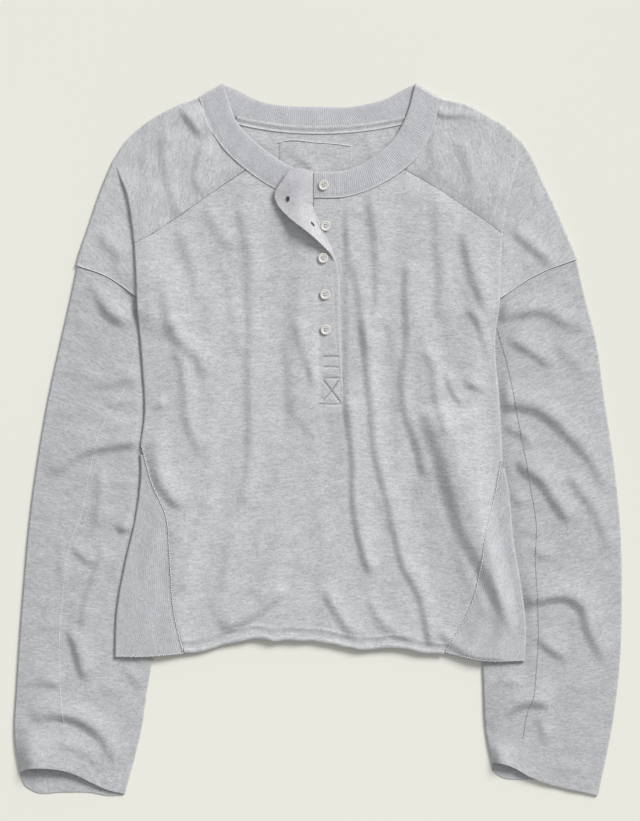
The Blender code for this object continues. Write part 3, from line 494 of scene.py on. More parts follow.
def run_at(shares, *pieces):
    """Points at shares of several curves that meet end to end. Each piece is a curve and its weight."""
    shares = np.asarray(shares, float)
    total = sum(weight for _, weight in pieces)
    points = np.zeros((len(shares), 2))
    start = 0.0
    for curve, weight in pieces:
        low, high = start / total, (start + weight) / total
        inside = (shares >= low - 1e-9) & (shares <= high + 1e-9)
        points[inside] = along(curve, np.clip((shares[inside] - low) / (high - low), 0, 1))
        start += weight
    return points


def steps(size, step=STEP, start=SEAM_ROWS, end=SEAM_ROWS, keep=()):
    """Shares of a line of this size in even steps, with more rows near its ends and at the shares to keep."""
    middle = np.linspace(0, 1, max(2, round(size / step)) + 1)
    first, last = np.array(start) / size, 1 - np.array(end)[::-1] / size
    clear = (middle > (first[-1] if len(first) else 0) + 0.3 * step / size)
    clear &= middle < (last[0] if len(last) else 1) - 0.3 * step / size
    for share in keep:
        clear &= np.abs(middle - share) > 0.35 * step / size
    return np.sort(np.concatenate([[0.0], first, middle[clear], keep, last, [1.0]]))


def shifted(points, dx=0.0, dy=0.0):
    return [(x + dx, y + dy) for x, y in points]


def normals(points):
    """Unit vectors to the left of the run of the points."""
    run = np.gradient(np.asarray(points, float)[:, :2], axis=0)
    run /= np.linalg.norm(run, axis=1)[:, None]
    return np.stack([-run[:, 1], run[:, 0]], axis=1)


def between(top, bottom, left, right, u, v):
    """Coons patch: a grid of x, y points inside four edges, each an array of points at the shares u or v."""
    u, v = u[None, :, None], v[:, None, None]
    corners = ((1 - u) * (1 - v) * top[0] + u * (1 - v) * top[-1]
               + (1 - u) * v * bottom[0] + u * v * bottom[-1])
    return (1 - v) * top[None] + v * bottom[None] + (1 - u) * left[:, None] + u * right[:, None] - corners


def nearest(path, x, y, count=24):
    """Distance from each x, y to a path, which is positive to the left of its run, and the share of the path
    where it is nearest."""
    line = along(path, fractions(count))
    best = np.full(np.shape(x), np.inf)
    where = np.zeros(np.shape(x))
    hand = np.ones(np.shape(x))
    for k, ((ax, ay), (bx, by)) in enumerate(zip(line, line[1:])):
        dx, dy = bx - ax, by - ay
        t = np.clip(((x - ax) * dx + (y - ay) * dy) / (dx * dx + dy * dy), 0, 1)
        d = np.hypot(x - ax - t * dx, y - ay - t * dy)
        closer = d < best
        where = np.where(closer, (k + t) / (len(line) - 1), where)
        hand = np.where(closer, np.sign(dx * (y - ay) - dy * (x - ax)), hand)
        best = np.minimum(best, d)
    return best * hand, where


def away(path, x, y):
    """Distance from each x, y to a path, whichever side it is on."""
    return np.abs(nearest(path, x, y)[0])


def fold_height(folds, x, y):
    """Height of all folds together: steep on one side of each path, and soft on the other."""
    total = np.zeros(np.shape(x))
    for fold in folds:
        d, t = nearest(fold.path, x, y)
        fade = min(0.42, FOLD_FADE / length(fold.path))
        ends = smooth(0.0, fade, t) * (1 - smooth(1 - fade, 1.0, t))
        rise = smooth(-fold.steep, fold.steep, d) * np.exp(-(np.maximum(d, 0) / fold.soft) ** 2)
        total = total + fold.height * ends * rise
    return total


def each(value, x, y):
    """Values of a function of x and y at all the points."""
    x, y = np.asarray(x, float), np.asarray(y, float)
    return np.array([value(a, b) for a, b in zip(x.ravel(), y.ravel())]).reshape(x.shape)


def drift(x, y, seed, size=26.0, fine=11):
    """Slow unevenness of loose cloth, from -1 to 1."""
    return each(lambda a, b: noise.noise(Vector((a / size, b / size, seed)))
                + 0.5 * noise.noise(Vector((a / fine, b / fine, seed + 7))), x, y)


def drape(x, y, across, run, seed):
    """Long soft folds of loose cloth, from -1 to 1: across is their width, and they run up and down."""
    return each(lambda a, b: noise.noise(Vector((a * (1 + b * DRAPE_FAN) / across, b / run, seed))), x, y)


def x_at(points, y):
    """x of an edge that runs down the shirt, at height y."""
    line = along(points, fractions(24))
    order = np.argsort(line[:, 1])
    return np.interp(y, line[order, 1], line[order, 0])


def armhole_y(side, x):
    """Height of the armhole seam's line at x, straight from the shoulder to the hidden underarm."""
    outer_x, outer_y, inner_x, inner_y = SLEEVE[side][0]
    return outer_y + (x - outer_x) * (inner_y - outer_y) / (inner_x - outer_x)


def armhole_bow(side, x):
    """How far the sewn armhole seam lies above its straight line."""
    outer_x, edge_x = SLEEVE[side][0][0], BODY_EDGE[side][2][0]
    share = np.clip((np.asarray(x, float) - outer_x) / (edge_x - outer_x), 0, 1)
    return SLEEVE_BOW * np.sin(math.pi * share) ** 1.3


def sleeve_lift(side, x, y):
    """How much the sleeve that lies under the body raises the body there."""
    inner = np.abs(x_at([row[2:] for row in SLEEVE[side]], y))
    over = smooth(-46, -5, np.abs(x) - inner)
    past_seam = y - armhole_y(side, x)
    beyond = smooth(-10, 24, np.abs(x) - 173) * smooth(-8, 4, past_seam)
    return SLEEVE_STACK * over * (1 - smooth(14, 62, past_seam)) * (1 - beyond)


def back_z(x, y):
    """Middle of the back's wall: on the surface, and over the sleeves at its sides."""
    x, y = np.asarray(x, float), np.asarray(y, float)
    return BACK_Z + np.where(x < 0, sleeve_lift("right", x, y), sleeve_lift("left", x, y))


def pleat_rise(x, y):
    """Rise of the front beside the crease, which fades out at the shoulder and below the armhole."""
    rise = np.zeros(np.shape(x))
    for side, sign in (("right", -1), ("left", 1)):
        inside = np.abs(x_at(CREASE[side], y)) - sign * x
        top = 1 - smooth(238, CREASE[side][0][1], y)
        low = smooth(-30, -6, y - armhole_y(side, x))
        rise = rise + PLEAT * (1 - smooth(2, 48, inside)) * top * low * (sign * x > 0)
    return rise


def seam_pull(path, x, y):
    """Dip into a sewn seam, and the ripples that it draws up."""
    d, t = nearest(path, x, y)
    d = np.abs(d)
    phase = 2 * math.pi * t * length(path) / PUCKER_PITCH
    ripple = np.sin(phase) * (0.6 + 0.4 * np.sin(0.37 * phase + 1.0))
    return -SEAM_DIP * np.exp(-(d / 1.6) ** 2) + PUCKER * ripple * np.exp(-d / 5.0)


def front_z(x, y, half, folds=True):
    """Middle of the front's wall. The right half lies over the button stand, and the left half beside it."""
    x, y = np.asarray(x, float), np.asarray(y, float)
    neckline = join(COLLAR_SEAM["right"], COLLAR_SEAM["left"][::-1])
    from_neck = away(neckline, x, y)
    neck = NECK_RISE * np.exp(-(from_neck / 34) ** 2) * (1 - smooth(50, 100, np.abs(x)))
    over_stand = smooth(-34, -14, x) * (1 - smooth(30, 50, x)) * smooth(8, 36, y)
    over_stand = over_stand * {"right": 1, "left": 1 - smooth(36, 70, y), "stand": 0}[half]
    edge = join(BODY_EDGE["right"], GUSSET_EDGE["right"])
    near = np.minimum(away(YOKE_SEAM["right"], x, y), away(YOKE_SEAM["left"], x, y))
    near = np.minimum(near, from_neck * 0.8)
    loose = smooth(0, 20, np.abs(x_at(edge, y)) - np.abs(x)) * smooth(-1, 15, near) * smooth(-226, -196, y)
    loose = loose * (1 - smooth(-7, 2, x) * (1 - smooth(22, 30, x)) * smooth(24, 40, y))
    rise = pleat_rise(x, y) + neck + PLACKET_STACK * over_stand
    z = back_z(x, y) + LAYER + rise + loose * PUFF
    if folds:
        z = z + loose * (fold_height(FRONT_FOLDS, x, y) + DRIFT * drift(x, y, 1))
        z = z + loose * DRAPE * drape(x, y, 19, 120, 11)
    return z


# ---------------------------------------------------------------- meshes
def with_z(grid, z):
    return np.dstack([grid, z])


def grain(points, angle):
    """Metres along and across streaks that run at this angle from +X."""
    x, y = np.asarray(points)[..., 0], np.asarray(points)[..., 1]
    c, s = math.cos(math.radians(angle)), math.sin(math.radians(angle))
    return np.stack([x * c + y * s, y * c - x * s], axis=-1)


def curl(edge, drop, hand, bulge=1.6, tuck=TUCK):
    """Rows that carry a folded edge round and under itself. The edge is x, y, z points in order, and drop is
    how far down the fold goes. The cloth lies to the left of the edge's run if hand is 1, or right if -1."""
    inward = hand * normals(edge)
    rows = [edge]
    for angle in (60, 35, 10, -15, -40, -65, -90):
        out = np.reshape(bulge * math.cos(math.radians(angle)), (-1, 1))
        down = (1 - math.sin(math.radians(angle))) / 2
        rows.append(np.column_stack([edge[:, :2] - inward * out, edge[:, 2] - drop * down]))
    if tuck:
        rows.append(np.column_stack([edge[:, :2] + inward * tuck, edge[:, 2] - drop]))
    return np.array(rows)


def skirt(edge, hand, reach=2.6, drop=1.2):
    """Seam allowance that runs on from a sewn edge, under the piece beside it."""
    inward = hand * normals(edge)
    rows = [edge]
    for share in (0.3, 0.65, 1.0):
        fall = drop * min(1, share * 1.6)
        rows.append(np.column_stack([edge[:, :2] - inward * reach * share, edge[:, 2] - fall]))
    return np.array(rows)


class Build:
    """Gathers grids and loose shapes into one mesh, with a grain map and material numbers."""

    def __init__(self, name):
        self.name = name
        self.points = []
        self.faces = []
        self.maps = []
        self.slots = []

    def grid(self, points, uv, slot=0):
        points, uv = np.asarray(points, float), np.asarray(uv, float)
        rows, columns = points.shape[:2]
        base = len(self.points)
        self.points += [tuple(p) for p in points.reshape(-1, 3)]
        self.maps += [tuple(p) for p in uv.reshape(-1, 2)]
        for r in range(rows - 1):
            for c in range(columns - 1):
                k = base + r * columns + c
                self.faces.append((k, k + columns, k + columns + 1, k + 1))
                self.slots.append(slot)

    def cloth(self, points, angle, slot=0):
        """A grid whose streaks run at this angle from +X."""
        self.grid(points, grain(points, angle), slot)

    def solid(self, points, faces):
        base = len(self.points)
        self.points += [tuple(p) for p in points]
        self.maps += [(p[0], p[1]) for p in points]
        self.faces += [tuple(base + k for k in face) for face in faces]
        self.slots += [0] * len(faces)

    def thread(self, path, radius, sides=6):
        """One thread through x, y, z points."""
        self.solid(*tube(path, radius, sides))

    def sew(self, material):
        """Makes the piece of the threads so far."""
        self.make([material], merge=False)

    def make(self, materials, wall=0.0, round_rim=0.0, merge=True, upright=False):
        mesh = bpy.data.meshes.new(self.name)
        mesh.from_pydata([[v * MM for v in p] for p in self.points], [], self.faces)
        layer = mesh.uv_layers.new(name="grain")
        index = np.zeros(len(mesh.loops), int)
        mesh.loops.foreach_get("vertex_index", index)
        layer.data.foreach_set("uv", (np.array(self.maps)[index] * UV_SCALE).ravel())
        mesh.polygons.foreach_set("material_index", self.slots)
        if merge:
            bm = bmesh.new()
            bm.from_mesh(mesh)
            bmesh.ops.remove_doubles(bm, verts=bm.verts, dist=MERGE)
            if not upright:
                bmesh.ops.recalc_face_normals(bm, faces=bm.faces)
            bm.to_mesh(mesh)
            bm.free()
        for made in materials:
            mesh.materials.append(made)
        mesh.shade_smooth()
        obj = bpy.data.objects.new(self.name, mesh)
        bpy.context.scene.collection.objects.link(obj)
        if wall:
            solid = obj.modifiers.new("wall", "SOLIDIFY")
            solid.thickness = wall * MM
            solid.offset = 0.0
        if round_rim:
            rim = obj.modifiers.new("rim", "BEVEL")
            rim.width = round_rim * MM
            rim.segments = 2
            rim.limit_method = "ANGLE"
            rim.angle_limit = math.radians(70)
        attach(obj, "root")
        return obj


def tube(path, radius, sides=6):
    """Points and faces of a closed tube with pointed ends along x, y, z points."""
    path = np.asarray(path, float)
    run = np.gradient(path, axis=0)
    run /= np.linalg.norm(run, axis=1)[:, None]
    side = np.cross(run, [0, 0, 1.0])
    side /= np.maximum(np.linalg.norm(side, axis=1), 1e-6)[:, None]
    up = np.cross(side, run)
    points = [path[0] - run[0] * radius * 0.6]
    for p, s, n in zip(path, side, up):
        for k in range(sides):
            a = 2 * math.pi * k / sides
            points.append(p + radius * (math.cos(a) * s + math.sin(a) * n))
    points.append(path[-1] + run[-1] * radius * 0.6)
    last = len(points) - 1
    faces = []
    for k in range(sides):
        faces.append((0, 1 + (k + 1) % sides, 1 + k))
        faces.append((last, last - sides + k, last - sides + (k + 1) % sides))
    for r in range(len(path) - 1):
        for k in range(sides):
            a, b = 1 + r * sides + k, 1 + r * sides + (k + 1) % sides
            faces.append((a, b, b + sides, a + sides))
    return points, faces


def add_stitches(build, path, surface, pitch=2.6, gap=0.7, radius=0.32, sink=0.1, wander=0.0):
    """Short threads along a path of x, y points, on a surface given by its height."""
    size = length(along(path, fractions(60)))
    count = max(1, round(size / pitch))
    for k in range(count):
        low, high = k / count, (k + 1 - gap / pitch) / count
        spots = along(path, np.linspace(low, high, 4))
        off = wander * math.sin(2.4 * k)
        spots = spots + normals(spots) * off
        z = surface(spots[:, 0], spots[:, 1]) - sink + radius * np.array([0.0, 0.7, 0.7, 0.0])
        build.thread(np.column_stack([spots, z]), radius)


def add_bead(build, path, surface, radius, sink=0.15):
    """One thread or fine piping along a path of x, y points, on a surface."""
    size = length(along(path, fractions(60)))
    spots = along(path, fractions(max(4, round(size / 1.2))))
    build.thread(np.column_stack([spots, surface(spots[:, 0], spots[:, 1]) + radius - sink]), radius, 8)


# ---------------------------------------------------------------- materials
def feed(made, inputs):
    """Links or sets a node's inputs, given by their names or numbers."""
    for key, value in inputs.items():
        if hasattr(value, "links"):
            made.id_data.links.new(value, made.inputs[key])
        else:
            made.inputs[key].default_value = value


def node(tree, kind, inputs=None, **settings):
    made = tree.nodes.new(kind)
    for key, value in settings.items():
        setattr(made, key, value)
    feed(made, inputs or {})
    return made


def new_material(name):
    """A material, its node tree and its shader."""
    made = bpy.data.materials.new(name)
    made.use_nodes = True
    return made, made.node_tree, made.node_tree.nodes["Principled BSDF"]


def clouds(tree, scale, detail):
    place = node(tree, "ShaderNodeTexCoord")
    return node(tree, "ShaderNodeTexNoise", {"Vector": place.outputs["Object"], "Scale": scale,
                                             "Detail": detail}).outputs["Fac"]


def grey(value):
    return (value,) * 3


def knit(tree, scale, detail=2.0, roughness=0.55, offset=0.0):
    """Noise in the cloth's own directions: scale is cycles for each metre along and across the streaks."""
    uv = node(tree, "ShaderNodeUVMap", uv_map="grain")
    mapped = node(tree, "ShaderNodeMapping", {"Vector": uv.outputs["UV"], "Scale": (scale[0], scale[1], 1.0),
                                             "Location": (offset, offset * 1.7, 0.0)})
    inputs = {"Vector": mapped.outputs["Vector"], "Scale": 1.0, "Detail": detail, "Roughness": roughness}
    return node(tree, "ShaderNodeTexNoise", inputs, noise_dimensions="2D").outputs["Fac"]


def ramp(tree, value, stops):
    made = node(tree, "ShaderNodeValToRGB", {"Fac": value})
    elements = made.color_ramp.elements
    while len(elements) < len(stops):
        elements.new(0.5)
    for element, (position, color) in zip(elements, stops):
        element.position = position
        element.color = (*color, 1.0)
    return made.outputs["Color"]


def math_node(tree, operation, a, b):
    return node(tree, "ShaderNodeMath", {0: a, 1: b, 2: 0.5}, operation=operation).outputs["Value"]


def multiplied(tree, a, b):
    """Product of two colours."""
    made = node(tree, "ShaderNodeMix", {0: 1.0, 6: a, 7: b}, data_type="RGBA", blend_type="MULTIPLY")
    return made.outputs[2]


def scaled(color, factor):
    return tuple(c * factor for c in color)


def cloth_material(name, color, contrast, streak=(125, 400), bump=0.4, ribs=0.0):
    """Heather knit: streaks of dark and pale yarn, soft mottling, flecks, and a relief that follows them.
    Ribs is how much darker the valleys between the ribs of a rib knit are painted: painted shade in the
    recesses."""
    made, tree, shader = new_material(name)
    streaks = knit(tree, streak, 3.0, 0.62)
    fine = knit(tree, (streak[0] * 2.6, streak[1] * 1.9), 2.0, 0.6, 3.1)
    patches = knit(tree, (42, 90), 2.0, 0.5, 8.4)
    flecks = knit(tree, (420, 1300), 1.0, 0.5, 5.7)
    value = math_node(tree, "ADD", math_node(tree, "MULTIPLY", streaks, 0.55),
                      math_node(tree, "MULTIPLY", fine, 0.45))
    base = ramp(tree, value, [(0.28, scaled(color, 1 - contrast)), (0.50, color),
                              (0.72, scaled(color, 1 + contrast))])
    shade = ramp(tree, patches, [(0.3, grey(1 - MOTTLE)), (0.7, grey(1 + MOTTLE))])
    base = multiplied(tree, base, shade)
    dark = ramp(tree, flecks, [(0.29, (0.76, 0.77, 0.79)), (0.38, (1.0, 1.0, 1.0))])
    base = multiplied(tree, base, dark)
    # Painted shade: the valleys between the ribs are darkened in colour.
    if ribs:
        uv = node(tree, "ShaderNodeUVMap", uv_map="grain").outputs["UV"]
        split = node(tree, "ShaderNodeSeparateXYZ", {"Vector": uv})
        wave = math_node(tree, "MULTIPLY", split.outputs["Y"], 2 * math.pi / (RIB_PITCH * UV_SCALE))
        wave = math_node(tree, "COSINE", wave, 0.0)
        wave = math_node(tree, "MULTIPLY_ADD", wave, 0.5)
        painted_valley_shade = ramp(tree, wave, [(0.0, grey(1 - ribs)), (0.8, grey(1.0))])
        base = multiplied(tree, base, painted_valley_shade)
    roughness = ramp(tree, fine, [(0.25, grey(CLOTH_ROUGH[0])), (0.75, grey(CLOTH_ROUGH[1]))])
    height = math_node(tree, "ADD", value, math_node(tree, "MULTIPLY", flecks, 0.5))
    relief = node(tree, "ShaderNodeBump", {"Height": height, "Strength": bump, "Distance": 0.0006})
    feed(shader, {"Base Color": base, "Roughness": roughness, "Normal": relief.outputs["Normal"],
                  "Sheen Weight": 0.12, "Sheen Roughness": 0.6, "Specular IOR Level": 0.2})
    return made


def button_material():
    """Cream resin with faint clouding and fine turning marks."""
    made, tree, shader = new_material("button_resin")
    cloud = clouds(tree, 260.0, 3.0)
    relief = node(tree, "ShaderNodeBump", {"Height": clouds(tree, 900.0, 2.0), "Strength": 0.15,
                                           "Distance": 0.0002})
    feed(shader, {"Base Color": ramp(tree, cloud, [(0.3, scaled(BUTTON_CREAM, 0.93)),
                                                   (0.7, scaled(BUTTON_CREAM, 1.06))]),
                  "Roughness": ramp(tree, cloud, [(0.3, grey(0.30)), (0.7, grey(0.44))]),
                  "Normal": relief.outputs["Normal"]})
    return made


def floor_material():
    made, tree, shader = new_material("floor_paint")
    base = ramp(tree, clouds(tree, 1.5, 2.0), [(0.3, scaled(FLOOR_COLOR, 0.99)),
                                               (0.7, scaled(FLOOR_COLOR, 1.01))])
    feed(shader, {"Base Color": base, "Roughness": 0.9, "Specular IOR Level": 0.1})
    return made


# ---------------------------------------------------------------- pieces
def declare(obj, node_name):
    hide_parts(node_name)


def hem_wave(x):
    return sum(height * np.exp(-((x - at) / half) ** 2) for at, half, height in HEM_WAVES)


def hem_roll(edge, hand):
    """Rows that roll the raw hem up onto the cloth's face, from the last row of the panel."""
    inward = hand * normals(edge)
    r = HEM_ROLL_RADIUS
    rows = [edge]
    for angle in (-65, -40, -15, 10, 35, 60, 85):
        out = r * math.cos(math.radians(angle))
        up = r * (1 + math.sin(math.radians(angle)))
        rows.append(np.column_stack([edge[:, :2] - inward * out, edge[:, 2] + up]))
    flutter = np.array([noise.noise(Vector((x / 13, y / 13, 4.0))) for x, y in edge[:, :2]])
    for back in (0.25, 0.5, 0.75, 1.0):
        reach = HEM_ROLL_WIDTH * back * (1 + 0.35 * flutter)
        up = 2 * r * (1 + 0.12 * math.sin(math.pi * back)) - 0.55 * back**2 * (1 - 0.8 * flutter)
        rows.append(np.column_stack([edge[:, :2] + inward * reach[:, None], edge[:, 2] + up]))
    return np.array(rows)


def hem_relief(x, from_edge):
    """The turned hem's upper line, which stands up in places, and the hollow below it."""
    uneven = np.array([[noise.noise(Vector((value / 26, 7.0, 2.0))) for value in row] for row in x])
    line = np.exp(-((from_edge - HEM_LINE) / 1.5) ** 2) * np.clip(0.75 + 1.1 * uneven, 0.1, 1.2)
    hollow = np.exp(-((from_edge - 4.6) / 2.2) ** 2)
    return 0.75 * line - 0.5 * hollow


def grooves(x, y):
    """Lines that the placket's stitching pulls into the cloth."""
    depth = np.zeros(np.shape(x))
    for path, deep in PLACKET_LINES:
        d, t = nearest(path, x, y, 8)
        ends = smooth(-0.001, 0.06, t) * (1 - smooth(0.94, 1.001, t))
        depth = np.maximum(depth, deep * ends * np.exp(-(d / 0.85) ** 2))
    return -depth


def make_front(materials):
    build = Build("front_cloth")
    top_split = YOKE_PART / (YOKE_PART + NECK_PART)
    slit_split, side_split = SLIT_PART / (SLIT_PART + BELOW_PART), SIDE_PART / (SIDE_PART + GUSSET_PART)
    near_hem = 1 - np.arange(2.6, 13, FINEST) / FRONT_LONG
    v = steps(FRONT_LONG, keep=(*np.arange(0.34, 0.47, FINEST / 440), *near_hem, slit_split, side_split))
    for side, slit, sign in (("right", PLACKET_EDGE, 1), ("left", STAND_SEAM, -1)):
        right = side == "right"
        seam = COLLAR_SEAM[side]
        neck = seam[seam.index(YOKE_SEAM[side][0]):-1] + [(slit[0][0], slit[0][1] + SEAM)]
        near_placket = 1 - np.arange(2.6, 26, FINEST) / FRONT_WIDE if right else ()
        u = steps(FRONT_WIDE, keep=(top_split, *near_placket))
        middle = run_at(v, (slit, SLIT_PART), (CENTRE_BELOW, BELOW_PART))
        top = run_at(u, (YOKE_SEAM[side][::-1], YOKE_PART), (neck, NECK_PART)) - [0, SEAM]
        edge = run_at(v, (BODY_EDGE[side], SIDE_PART), (GUSSET_SEAM[side], GUSSET_PART)) + [sign * SEAM, 0]
        top[0] = edge[0] = top[0] + [sign * SEAM, 0]
        grid = between(top, along([edge[-1]] + HEM[side][1:], u), edge, middle, u, v)
        grid[..., 1] += v[:, None] ** 12 * (hem_wave(grid[..., 0]) + HEM_ROLL_RADIUS)
        x, y = grid[..., 0], grid[..., 1]
        z = front_z(x, y, side) + seam_pull(YOKE_SEAM[side], x, y)
        z = z + np.minimum(0, seam_pull(GUSSET_SEAM[side], x, y))
        z[-HEM_ROWS:] += hem_relief(x[-HEM_ROWS:], (1 - v[-HEM_ROWS:, None]) * FRONT_LONG)
        if right:
            z = z + grooves(x, y)
        points = with_z(grid, z)
        build.cloth(points, 4 if right else -3)
        rim = points[:np.searchsorted(v, side_split + 1e-6), 0]
        build.cloth(curl(rim, np.full(len(rim), LAYER), sign), 2)
        build.cloth(hem_roll(points[-1], -sign), 2)
        build.cloth(skirt(points[0, np.searchsorted(u, top_split - 1e-6):], -sign), 2)
        if right:
            foot = np.searchsorted(v, slit_split + 1e-6)
            build.cloth(curl(points[:foot, -1], np.full(foot, 1.5), -sign, 0.7, 3.0), 2)
    declare(build.make(materials, JERSEY, 0.3), "body_front")


def neck_relief(x, y):
    """Folds of the back that show inside the neck."""
    low = 1 - smooth(288, 302, y)
    return 0.3 + 0.3 * drift(x, y, 3, 20) + low * fold_height(NECK_FOLDS, x, y)


def make_back(materials):
    inset = TUCK + BACK_INSET
    tops, edges = {}, {}
    v = steps(BACK_LONG, 4.5)
    for side, sign in SIDES:
        outline = np.array(join(SHOULDER[side], DROP_EDGE[side]), float)
        outline = (outline + normals(outline) * sign * inset)[1:-1]
        armpit_x = BODY_EDGE[side][2][0] + inset * sign
        corners = np.array([DROP_EDGE[side][-1][0] + 8 * sign, armpit_x])
        seam = np.column_stack([corners, armhole_y(side, corners) + 2 * SEAM])
        body = shifted(join(BODY_EDGE[side], GUSSET_EDGE[side])[3:], dx=inset * sign)
        tops[side] = np.concatenate([[(BACK_NECK[0][0] * sign, BACK_NECK[0][1])], outline, seam[:1]])
        edges[side] = run_at(v, (seam, ARMHOLE_PART), (np.concatenate([seam[1:], body]), BELOW_ARM_PART))
        edges[side][-1, 1] += 3
    whole = 2 * YOKE_PART + NECK_PART
    u = steps(BACK_WIDE, 3.6, keep=(YOKE_PART / whole, (YOKE_PART + NECK_PART) / whole))
    top = run_at(u, (tops["right"][::-1], YOKE_PART), (BACK_NECK, NECK_PART), (tops["left"], YOKE_PART))
    right, left = edges["right"], edges["left"]
    grid = between(top, along([right[-1], *BACK_HEM, left[-1]], u), right, left, u, v)
    x, y = grid[..., 0], grid[..., 1]
    upper = smooth(200, 250, y)
    middle = smooth(0, 60, 120 - np.abs(x)) * smooth(-215, -150, y)
    z = back_z(x, y) + middle * (1 - upper) * fold_height(BACK_FOLDS, x, y)
    z = z + upper * smooth(0, 30, 110 - np.abs(x)) * neck_relief(x, y)
    build = Build("back_cloth")
    build.cloth(with_z(grid, z), -3)
    declare(build.make(materials, JERSEY, 0.3), "body_back")


def drop_relief(side, x, y):
    """Folds and unevenness of the dropped shoulder."""
    inside = smooth(0, 12, away(DROP_EDGE[side], x, y))
    return inside * (fold_height(DROP_FOLDS[side], x, y) + DRIFT * drift(x, y, 5))


def make_yoke(side, sign, materials):
    collar = COLLAR_SEAM[side]
    collar = shifted(collar[:collar.index(YOKE_SEAM[side][0]) + 1], dx=-sign * SEAM)
    top = [collar[0]] + SHOULDER[side][1:]
    seam = [collar[-1]] + YOKE_SEAM[side][1:]
    u, v = steps(YOKE_WIDE, FINE_STEP), steps(YOKE_LONG, FINE_STEP)
    crease_line = [p for p in CREASE[side] if p[1] >= seam[-1][1]]
    crease = along(crease_line, v)
    grid = between(along(top, u), along(seam, u), along(collar, v), crease, u, v)
    x, y = grid[..., 0], grid[..., 1]
    z = front_z(x, y, side, folds=False) + seam_pull(YOKE_SEAM[side], x, y)
    inside = smooth(0, 14, away(SHOULDER[side], x, y)) * smooth(0, 10, 196 - np.abs(x))
    loose = fold_height(YOKE_FOLDS[side], x, y) + DRIFT * drift(x, y, 2) + 0.8 * drape(x, y, 16, 70, 5)
    z = z + inside * loose
    inner = with_z(grid, z)
    lean = 82 if side == "right" else 98
    build = Build(f"yoke_{side}_cloth")
    build.cloth(inner, lean)
    build.cloth(skirt(inner[:, 0], -sign), lean)
    outward = sign * normals(crease)
    below = fractions(24)[1:]
    lower = along([p for p in CREASE[side] if p[1] <= seam[-1][1]], below)
    foot = np.concatenate([crease + outward * CREASE_UNDER, lower + [sign * (TUCK - 2), 0]])
    foot[0] = crease[0]
    parts = CREASE_PART + BELOW_CREASE_PART
    w = np.concatenate([v * CREASE_PART / parts, CREASE_PART / parts + below * BELOW_CREASE_PART / parts])
    outer = along(DROP_EDGE[side], w)
    foot[-1, 1] = armhole_y(side, foot[-1, 0]) + SEAM
    outer[-1, 1] += SEAM
    c = steps(60, FINE_STEP * 1.6, start=())
    low = along([foot[-1], outer[-1]], c)
    low[:, 1] += armhole_bow(side, low[:, 0])
    drop = between(np.repeat(foot[:1], len(c), axis=0), low, foot, outer, c, w)
    x, y = drop[..., 0], drop[..., 1]
    z = back_z(x, y) + LAYER + drop_relief(side, x, y) * smooth(0, 0.2, w)[:, None]
    z[0] = inner[0, -1, 2]
    points = with_z(drop, z)
    wedge = -38 if side == "right" else 38
    build.cloth(points, wedge)
    top_edge = inner[:, -1]
    fall = top_edge[:, 2] - points[:len(v), 0, 2]
    rows = [top_edge]
    for angle in (60, 25, -10, -45, -90):
        out = 1.1 * math.cos(math.radians(angle)) * smooth(0, 0.08, v)
        down = (1 - math.sin(math.radians(angle))) / 2
        rows.append(np.column_stack([crease - outward * out[:, None], top_edge[:, 2] - fall * down]))
    rows.append(points[:len(v), 0])
    build.cloth(rows, wedge)
    rim = np.concatenate([inner[0], points[1:, -1]])
    bulge = 1.6 * smooth(2, 20, np.linalg.norm(rim[:, :2] - rim[0, :2], axis=1))
    turned = curl(rim, rim[:, 2] - BACK_Z, sign, bulge)
    build.cloth(turned, lean)
    made = build.make(materials, JERSEY, 0.3)
    declare(made, "yoke_" + side)


def make_gusset(side, sign, materials):
    v = steps(GUSSET_LONG, 2.4, start=())
    v = v[v >= GUSSET_TIP]
    v = np.concatenate([[GUSSET_TIP], v[v > GUSSET_TIP + 0.003]])
    front = along(GUSSET_SEAM[side], v)
    edge = along(GUSSET_EDGE[side], v)
    widest = float(np.linalg.norm(front[-1] - edge[-1]))
    s = fractions(round(widest / RIB_PITCH) * 4)
    lines = front[:, None] + (edge - front)[:, None] * s[None, :, None]
    lines[-1] = along(GUSSET_HEM[side], s)
    lines[-1, :, 1] += 0.5 * np.array([noise.noise(Vector((k * 0.9, 2.0, 1.0))) for k in range(len(s))])
    x, y = lines[..., 0], lines[..., 1]
    z = front_z(x, y, side) + np.minimum(0, seam_pull(GUSSET_SEAM[side], x, y))
    wide = np.linalg.norm(edge - front, axis=1)[:, None] * s[None, :]
    ribs = RIB_DEPTH * 0.25 * np.cos(2 * math.pi * wide / RIB_PITCH) * smooth(0, 3, wide)
    points = with_z(lines, z + ribs)
    build = Build(f"gusset_{side}_cloth")
    build.grid(points, np.stack([np.broadcast_to((v * GUSSET_LONG)[:, None], x.shape), wide], axis=-1))
    build.cloth(skirt(points[:, 0], -sign, drop=0.7), 90)
    rim = points[:, -1]
    turned = curl(rim, rim[:, 2] - back_z(rim[:, 0], rim[:, 1]), sign, 1.4)
    build.grid(turned, np.stack([np.broadcast_to(v * GUSSET_LONG, turned.shape[:2]),
                                 wide[:, -1] + np.arange(len(turned))[:, None]], axis=-1))
    declare(build.make(materials, JERSEY, 0.0), "gusset_" + side)


def mouth_curve(curve, across):
    """Height of a smooth curve of share, mm points at these shares across the cuff."""
    line = along([(share * CUFF_WIDTH, value) for share, value in curve], fractions(60))
    return np.interp(np.asarray(across) * CUFF_WIDTH, line[:, 0], line[:, 1])


